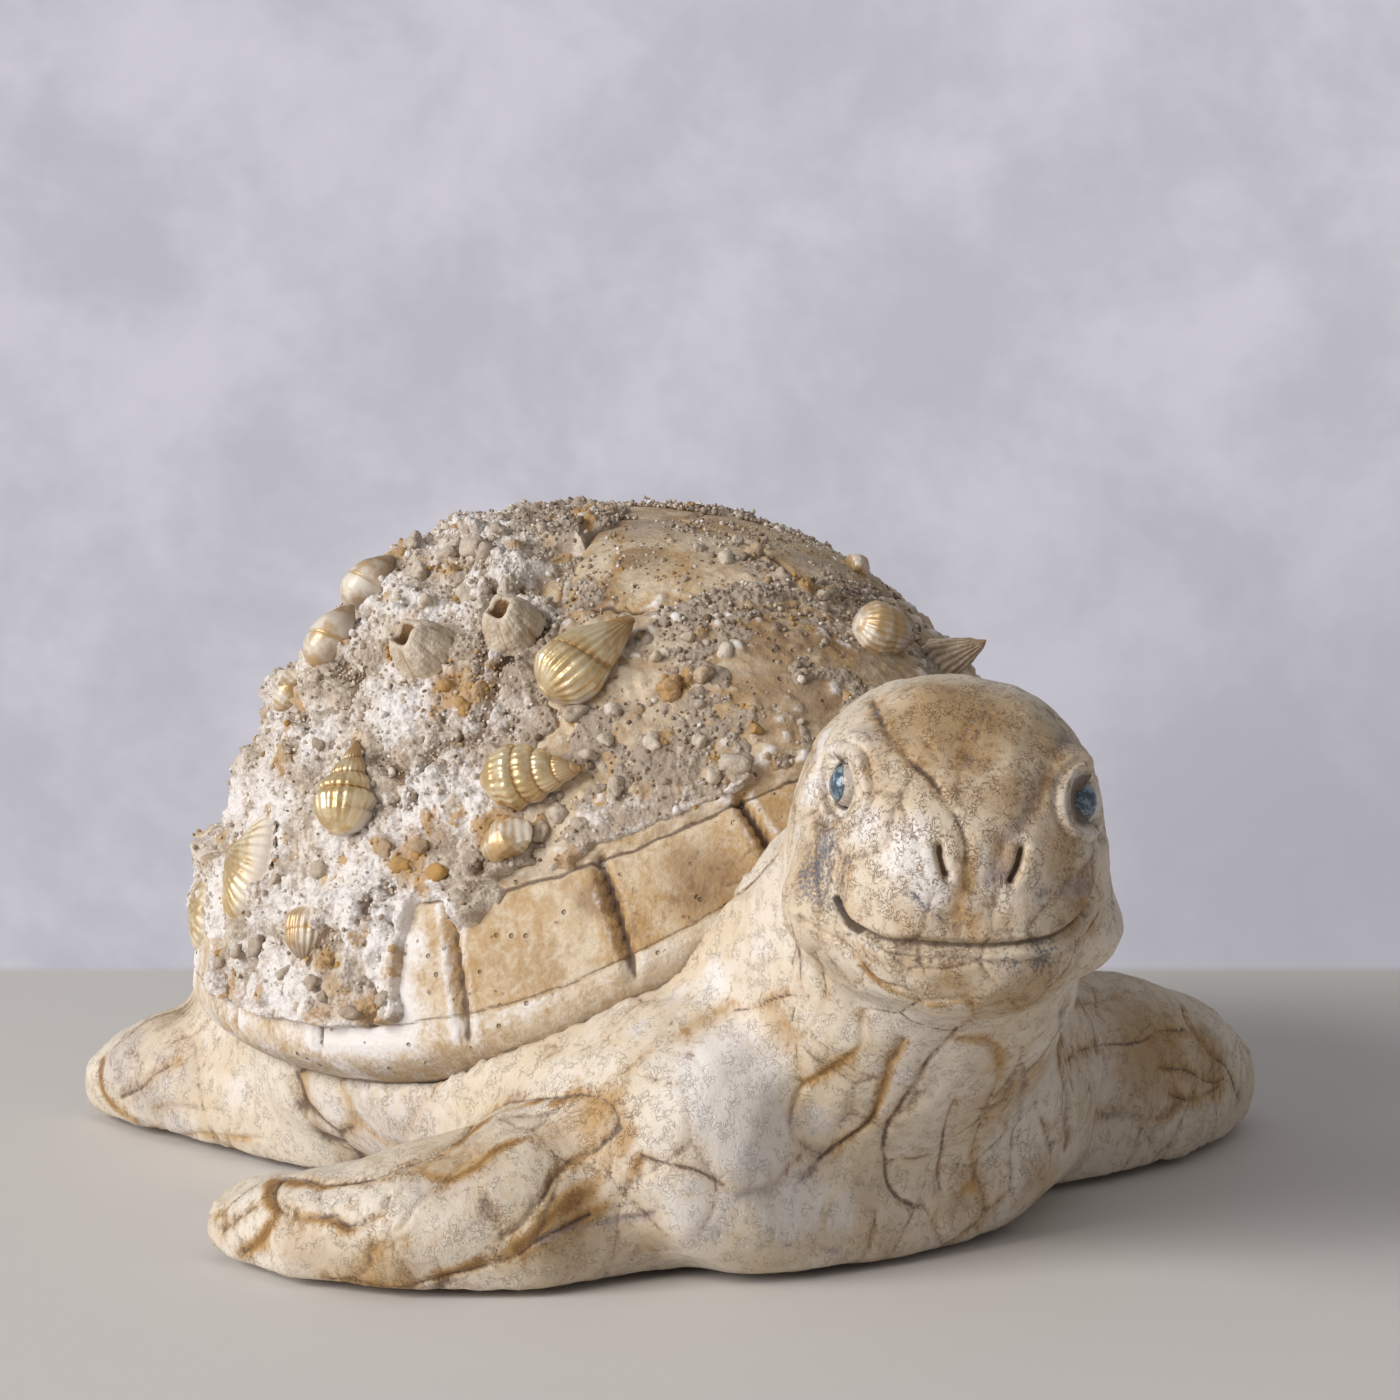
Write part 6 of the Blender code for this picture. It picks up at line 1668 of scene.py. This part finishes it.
def body_paint(points, normals, tree, paths):
    """Relief and paint of the casting.

    Each traced line is a V-shaped cut with its own paint; the skin swells between lines. Out of
    the picture's sight the lines run where two scattered points are equally near.
    """
    seen = facing(points, normals)
    fields = {key: np.zeros(len(points)) for key in PAINT_FIELDS}
    relief = np.zeros(len(points))
    nearest = np.full(len(points), 0.02)
    wobble = 1.0 + 0.3 * layered(points, 0.004, 2, 131)
    worn = {field: 0.4 + 0.6 * ramp(-0.35, 0.35, layered(points, 0.008, 2, seed))
            for field, seed in (("line", 311), ("ochre", 313), ("lilac", 317), ("slate", 331))}
    for kind, half, depth, path in paths:
        away = distance_to(points, path, 0.02)
        if depth > 0.0:
            nearest = np.minimum(nearest, away)
        relief = np.minimum(relief, -depth * fall(0.0, 1.5, away / (half * wobble)))
        for field, strength, spread in LINE_PAINT[kind]:
            amount = strength * worn.get(field, 1.0) * bell(away, half * spread * wobble)
            lay(fields, field, amount)
    unseen = np.maximum(fall(-0.05, 0.12, seen), ramp(0.016, 0.0195, nearest))
    warped = points + 0.004 * shifts(points, 0.016, 137)
    first, second, name = pebbled(warped, 0.024, 139)
    cell_line = (second - first) * 0.012
    small_first, small_second, small_name = pebbled(warped * np.array((1.0, 1.0, 0.75)), 0.0125, 359)
    small_line = (small_second - small_first) * 0.00625
    shown = ramp(0.35, 0.6, 0.5 + 0.6 * layered(points, 0.016, 2, 367) + 0.3 * (small_name - 0.5))
    small_cut = shown * bell(small_line, 0.00035 * wobble)
    lay(fields, "line", 0.55 * small_cut)
    lay(fields, "ochre", 0.55 * shown * bell(small_line, 0.0011))
    relief = np.minimum(relief, -0.00025 * small_cut)
    strength = unseen * ramp(0.2, 0.5, 0.5 + 0.7 * layered(points, 0.02, 2, 149))
    cut = bell(cell_line, 0.0006 * wobble)
    relief = np.minimum(relief, -0.0005 * unseen * cut)
    lay(fields, "line", 0.85 * strength * cut)
    halo = bell(cell_line, 0.002)
    lay(fields, "ochre", unseen * halo * (0.35 + 0.5 * (name > 0.5)))
    # Painted lilac-grey shade beside some cell lines.
    lay(fields, "lilac", unseen * halo * 0.5 * (name < 0.4))
    fields["chalk_and_highlight"] += unseen * (0.35 + 0.6 * layered(points, 0.03, 3, 151))
    fields["tan"] += unseen * (0.35 + 0.5 * layered(points, 0.035, 2, 157))
    fields["specks"] += unseen * 0.4 * ramp(0.1, 0.4, layered(points, 0.02, 2, 163))
    by_cell = np.minimum(nearest, cell_line + 0.02 * (1.0 - unseen))
    nearest = np.where(unseen > 0.5, by_cell, nearest)
    worn_edge = 0.35 + 0.65 * ramp(-0.4, 0.4, layered(points, 0.018, 2, 353))
    fields["edge"] = np.exp(-((nearest / 0.0034) ** 1.3)) * worn_edge
    relief += 0.0006 * ramp(0.0, 0.009, nearest)
    relief += 0.00035 * layered(points, 0.009, 2, 167)
    knife = pebbled(points + 0.003 * shifts(points, 0.02, 337), 0.016, 347)[0]
    relief += 0.0011 * knife**2 * ramp(0.004, 0.012, points[:, 2]) - 0.0003
    for field, places in PAINT_PLACES.items():
        for x, y, radius, amount in places:
            middle = traced(tree, (x, y))
            if len(middle):
                away = np.linalg.norm(points - middle[0], axis=1) / (radius * PIXEL_ON_BODY)
                lay(fields, field, amount * np.exp(-(away**2) * 0.8) * (seen > -0.3))
    fields["edge"] *= 1.0 - 0.6 * np.clip(fields["chalk_and_highlight"], 0.0, 1.0)
    return relief, fields


def carve_face(points, tree, relief, fields):
    """The mouth with its overhanging lip, the nostril slits and the rings round the eyes, with painted shade
    in the mouth, under the lower lip and round the eyeballs.
    """
    mouth, corner, lower = (traced(tree, places) for places in (MOUTH_UPPER, MOUTH_CORNER, MOUTH_LOWER))
    away = distance_to(points, mouth, 0.01)
    relief -= 0.0014 * fall(0.0, 1.0, away / 0.0015)
    # Dark line along the mouth: brown paint, and painted shadow under the overhanging upper lip.
    lay(fields, "line", 0.95 * bell(away, 0.0005))
    lay(fields, "ochre", 0.5 * bell(away, 0.003))
    away = distance_to(points, corner, 0.006)
    relief -= 0.0022 * fall(0.0, 1.0, away / 0.0013)
    # Painted shade: the mouth's corner is painted dark deep in its recess.
    lay(fields, "line", 1.8 * fall(0.5, 1.2, away / 0.0012))
    lip = distance_to(points, traced(tree, np.array(MOUTH_UPPER).reshape(-1, 2) + (0, 9)), 0.006)
    pale = bell(lip, 0.0010)
    lay(fields, "chalk_and_highlight", 0.3 * pale)
    fields["ochre"] *= 1.0 - 0.7 * pale
    relief += 0.0002 * pale
    away = distance_to(points, lower, 0.006)
    relief -= 0.0005 * fall(0.0, 1.0, away / 0.0009)
    # Painted shade: slate blue-grey under the lower lip.
    lay(fields, "slate", 0.6 * bell(away, 0.0011))
    for places in NOSTRILS:
        away = distance_to(points, traced(tree, places), 0.006)
        relief -= 0.0018 * fall(0.1, 1.0, away / 0.0010)
        relief += 0.0002 * bell(away - 0.0019, 0.0008)
        lay(fields, "line", 1.3 * fall(0.3, 1.0, away / 0.0006))
        lay(fields, "ochre", 0.7 * bell(away, 0.0018))
    for places, middle in zip(EYE_RINGS, eye_middles()):
        away = distance_to(points, traced(tree, places), 0.006)
        relief += 0.0005 * bell(away, 0.0007)
        relief -= 0.0004 * bell(away - 0.0014, 0.0006)
        lay(fields, "line", 0.5 * bell(away - 0.0012, 0.0004))
        lay(fields, "chalk_and_highlight", 0.55 * bell(away, 0.0010))
        close = np.linalg.norm(points - middle, axis=1) - EYE_RADIUS
        # Round the eyeball: a dark line and slate blue-grey as painted shade in the socket; the chalk
        # between is rubbed on.
        lay(fields, "line", 0.9 * fall(0.0003, 0.0010, close))
        lay(fields, "chalk_and_highlight", 0.45 * fall(0.001, 0.004, close))
        lay(fields, "slate", 0.4 * fall(0.0005, 0.0022, close))
    return relief


def build_body(material):
    """The casting's skin with its carving, in place of the solid. Each socket is pressed clear of its
    eyeball and opened towards the camera round the iris."""
    points, faces = body_base()
    tree = BVHTree.FromPolygons(points.tolist(), faces.tolist())
    paths = carve_paths(tree)
    face_lines = (MOUTH_UPPER, MOUTH_CORNER, MOUTH_LOWER, *NOSTRILS, *EYE_RINGS)
    face_paths = [traced(tree, places) for places in face_lines]
    eyes = eye_middles()
    head_middle = (eyes[0] + eyes[1]) / 2.0 - np.array((0.0, 0.0, 0.012))
    wanted = skin_detail([path for path in paths if path[2] > 0.0], face_paths, head_middle)
    for _ in range(3):
        points, faces = split_long(points, faces, wanted)
    normals = corner_normals(points, faces)
    relief, fields = body_paint(points, normals, tree, paths)
    relief = carve_face(points, tree, relief, fields)
    beneath = (plan_place(points)[1] < 0.97) & (points[:, 2] > 0.026)
    relief = np.where(beneath & (normals[:, 2] > 0.3), np.minimum(relief, 0.0) * 0.2 - 0.0002, relief)
    points = points + normals * relief[:, None]
    for (_, gaze, half_width), middle in zip(IRISES, eyes):
        out = points - middle
        away = np.linalg.norm(out, axis=1, keepdims=True)
        clear = EYE_RADIUS + SOCKET_ROOM
        points = np.where(away < clear, middle + out / away * clear, points)
        u, v, depth = seen_in_eye(points, middle, gaze)
        around = np.hypot(u / half_width, v / IRIS_HALF_HEIGHT)
        opened = fall(1.0, 1.5, around) * (depth > 0.0) * (away[:, 0] < 4.4 * EYE_RADIUS)
        points = points + opened[:, None] * (middle + out / away * 0.86 * EYE_RADIUS - points)
        # Painted shade: a dark ring on the skin round the socket's opening.
        lay(fields, "line", 1.1 * np.clip(2.0 * opened, 0.0, 1.0) * (around > 0.9))
    points[:, 2] = np.maximum(points[:, 2], 0.0)
    return make_piece("casting_skin", points, faces, ["body_casting"], material, fields)


def build_eyes(material):
    """Eyeballs with a pitted iris painted towards where the turtle looks."""
    points, faces = ball(6)
    for (name, gaze, half_width), middle in zip(IRISES, eye_middles()):
        u, v, depth = seen_in_eye(middle + points * EYE_RADIUS, middle, gaze)
        away = np.hypot(u / half_width, v / IRIS_HALF_HEIGHT) + 2.0 * (depth < -0.2)
        iris = fall(0.7, 1.3, away + 0.12 * noise(points, 0.5, 171))
        pitted = 1.0 - 0.02 * ramp(0.0, 0.6, noise(points, 0.28, 173))
        placed = middle + points * pitted[:, None] * EYE_RADIUS
        make_piece(name + "_look", placed, faces, [name], material, {"iris": iris})


def build_pads(material):
    """Felt discs with a rounded edge, a little fuzzy, in place of the plain ones."""
    for corner in ("front_left", "front_right", "rear_left", "rear_right"):
        node = "felt_pad_" + corner
        low, high = (np.array(place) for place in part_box(node))
        middle, half = (low + high) / 2.0, (high - low) / 2.0
        t, angle = ring_grid(28, 72)
        radius = np.sin(np.pi * np.clip(t, 0.02, 0.98)) ** 0.35
        height = -np.cos(np.pi * t)
        cell = (np.stack([t, angle, np.zeros_like(t)], axis=-1) * 1e4).astype(np.int64)
        radius = radius * (1 - 0.012 * scattered(cell, 5))
        rings = middle + half * np.stack([radius * np.cos(angle), radius * np.sin(angle), height], axis=-1)
        points, faces = closed_rings(rings)
        make_piece(node + "_look", points, faces, [node], material)


# The set: floor, backdrop colour, camera, lamp and sky.

# How far ahead of the camera the table ends, and half the floor's width.
TABLE_REACH = 1.090
FLOOR_HALF = 400.0
# The lamp's place from the table's middle as the camera looks, what it faces, and its light.
KEY_RIGHT = -2.85
KEY_AHEAD = -1.8
KEY_UP = 1.57
KEY_TARGET = (0.0, -0.02, 0.05)
KEY_SIZE = 2.1
KEY_POWER = 136.0
KEY_COLOUR = (1.0, 0.985, 0.97)
SKY_COLOUR = (0.98, 0.96, 0.98, 1.0)
SKY_STRENGTH = 0.30


def build_floor():
    """One wide floor: a pale table that ends behind the turtle. Beyond it the floor glows in a
    mottled lilac grey, whose patches are as wide as they look from the camera's place."""
    finish = Finish("pale_table", 0.6, Specular_IOR_Level=0.15)
    finish.shader.inputs["Emission Strength"].default_value = 1.0

    def reach(direction):
        """How far a point lies from the camera in a direction."""
        dot = finish.node("ShaderNodeVectorMath", {"operation": "DOT_PRODUCT"},
                          {0: finish.place, 1: tuple(direction)}, "Value")
        return dot - float(CAMERA_PLACE @ direction)

    ahead, across = reach(LOOK_AHEAD), reach(LOOK_RIGHT)
    beyond = ahead.eased(TABLE_REACH - 0.004, TABLE_REACH + 0.006)
    slope = ahead.maths("POWER", -1.0)
    aside, below = across * slope, slope * float(CAMERA_PLACE[2])
    spread = finish.node("ShaderNodeCombineXYZ", {}, {0: aside, 1: below})
    patches = finish.noise(0.045, 4.0, 0.55, 0.3, spread)
    weave = finish.noise(0.006, 2.0, 0.6, 0.0, spread)
    shade = (patches * 0.85 + weave * 0.15).eased(0.36, 0.66)
    # Painted shade: the glowing backdrop is painted darker grey towards the right, away from the lamp.
    shaded_right_side = aside.eased(-0.02, 0.15) * below.eased(0.05, 0.2)
    backdrop = finish.mix(BACKDROP_LILAC, BACKDROP_PALE, shade)
    backdrop = finish.mix(backdrop, BACKDROP_GREY, shaded_right_side * 0.75)
    table = finish.mix(TABLE_PALE, TABLE_SHADE, finish.noise(0.25, 2.0))
    finish.feed("Base Color", finish.mix(table, BLACK, beyond))
    finish.feed("Emission Color", finish.mix(BLACK, backdrop, beyond))
    corners = [(x * FLOOR_HALF, y * FLOOR_HALF, 0) for x, y in ((-1, -1), (1, -1), (1, 1), (-1, 1))]
    mesh = bpy.data.meshes.new("floor")
    mesh.from_pydata(corners, [], [(0, 1, 2, 3)])
    mesh.materials.append(finish.material)
    floor = bpy.data.objects.new("floor", mesh)
    bpy.context.scene.collection.objects.link(floor)


def add_lamp(name, place, target, size, power, colour):
    """A soft square lamp that faces a target."""
    lamp = bpy.data.lights.new(name, "AREA")
    lamp.size, lamp.energy, lamp.color = size, power, colour
    holder = bpy.data.objects.new(name, lamp)
    holder.location = place
    holder.rotation_mode = "QUATERNION"
    holder.rotation_quaternion = (Vector(target) - Vector(place)).to_track_quat("-Z", "Y")
    bpy.context.scene.collection.objects.link(holder)


def build_set():
    """Camera at the picture's place, a large soft key low on the left, and an even sky."""
    build_floor()
    camera = bpy.data.cameras.new("camera")
    camera.lens = SENSOR_MM * FOCAL_PIXELS / FRAME_PIXELS
    camera.sensor_width = SENSOR_MM
    camera.clip_start, camera.clip_end = 0.05, 900.0
    holder = bpy.data.objects.new("camera", camera)
    holder.location = CAMERA_PLACE
    holder.rotation_euler = (math.pi / 2.0 - CAMERA_DIP, 0.0, -CAMERA_TURN)
    bpy.context.scene.collection.objects.link(holder)
    bpy.context.scene.camera = holder
    key_place = KEY_RIGHT * LOOK_RIGHT + KEY_AHEAD * LOOK_AHEAD + KEY_UP * LOOK_UP
    add_lamp("key", tuple(key_place), KEY_TARGET, KEY_SIZE, KEY_POWER, KEY_COLOUR)
    world = bpy.data.worlds.new("soft_sky")
    world.use_nodes = True
    sky = world.node_tree.nodes["Background"]
    sky.inputs["Color"].default_value = SKY_COLOUR
    sky.inputs["Strength"].default_value = SKY_STRENGTH
    bpy.context.scene.world = world
    bpy.context.scene.view_settings.view_transform = "Standard"


# Patches of crust: name, range of angles, range of shares, columns and rings.
CRUST_PATCHES = (
    ("sand_crust_rear_right", (-188.0, -112.0), (0.008, 0.993), 252, 250),
    ("sand_crust_right", (-117.0, -49.0), (0.007, 0.9965), 300, 325),
    ("sand_crust_front", (-53.0, 48.0), (0.008, 0.985), 320, 295),
    ("sand_crust_left", (43.0, 177.0), (0.20, 0.99), 236, 150),
)
# Loose grit: name, most grains, range of angles, range of sizes, splits of a grain's ball, seed.
GRIT_LAYERS = (
    ("fine_grit_right", 6500, (-190.0, 40.0), (0.0005, 0.0011), 1, 21),
    ("coarse_grit", 700, (-190.0, 170.0), (0.0010, 0.0018), 2, 23),
    ("fine_grit_left", 4000, (30.0, 180.0), (0.0005, 0.0013), 1, 24),
)


def main():
    """Builds every piece and the set."""
    build_body(carved_paint())
    build_eyes(eye_paint())
    build_plates(washed_paint())
    crust, grit = crust_paint(), grit_paint()
    for patch in CRUST_PATCHES:
        build_crust(*patch, crust)
    for layer in GRIT_LAYERS:
        build_grit(*layer, grit)
    build_bits(grit)
    build_sea_shells(gold_paint(), pearl_paint(), lime_paint())
    build_pads(felt_finish())
    build_set()


main()
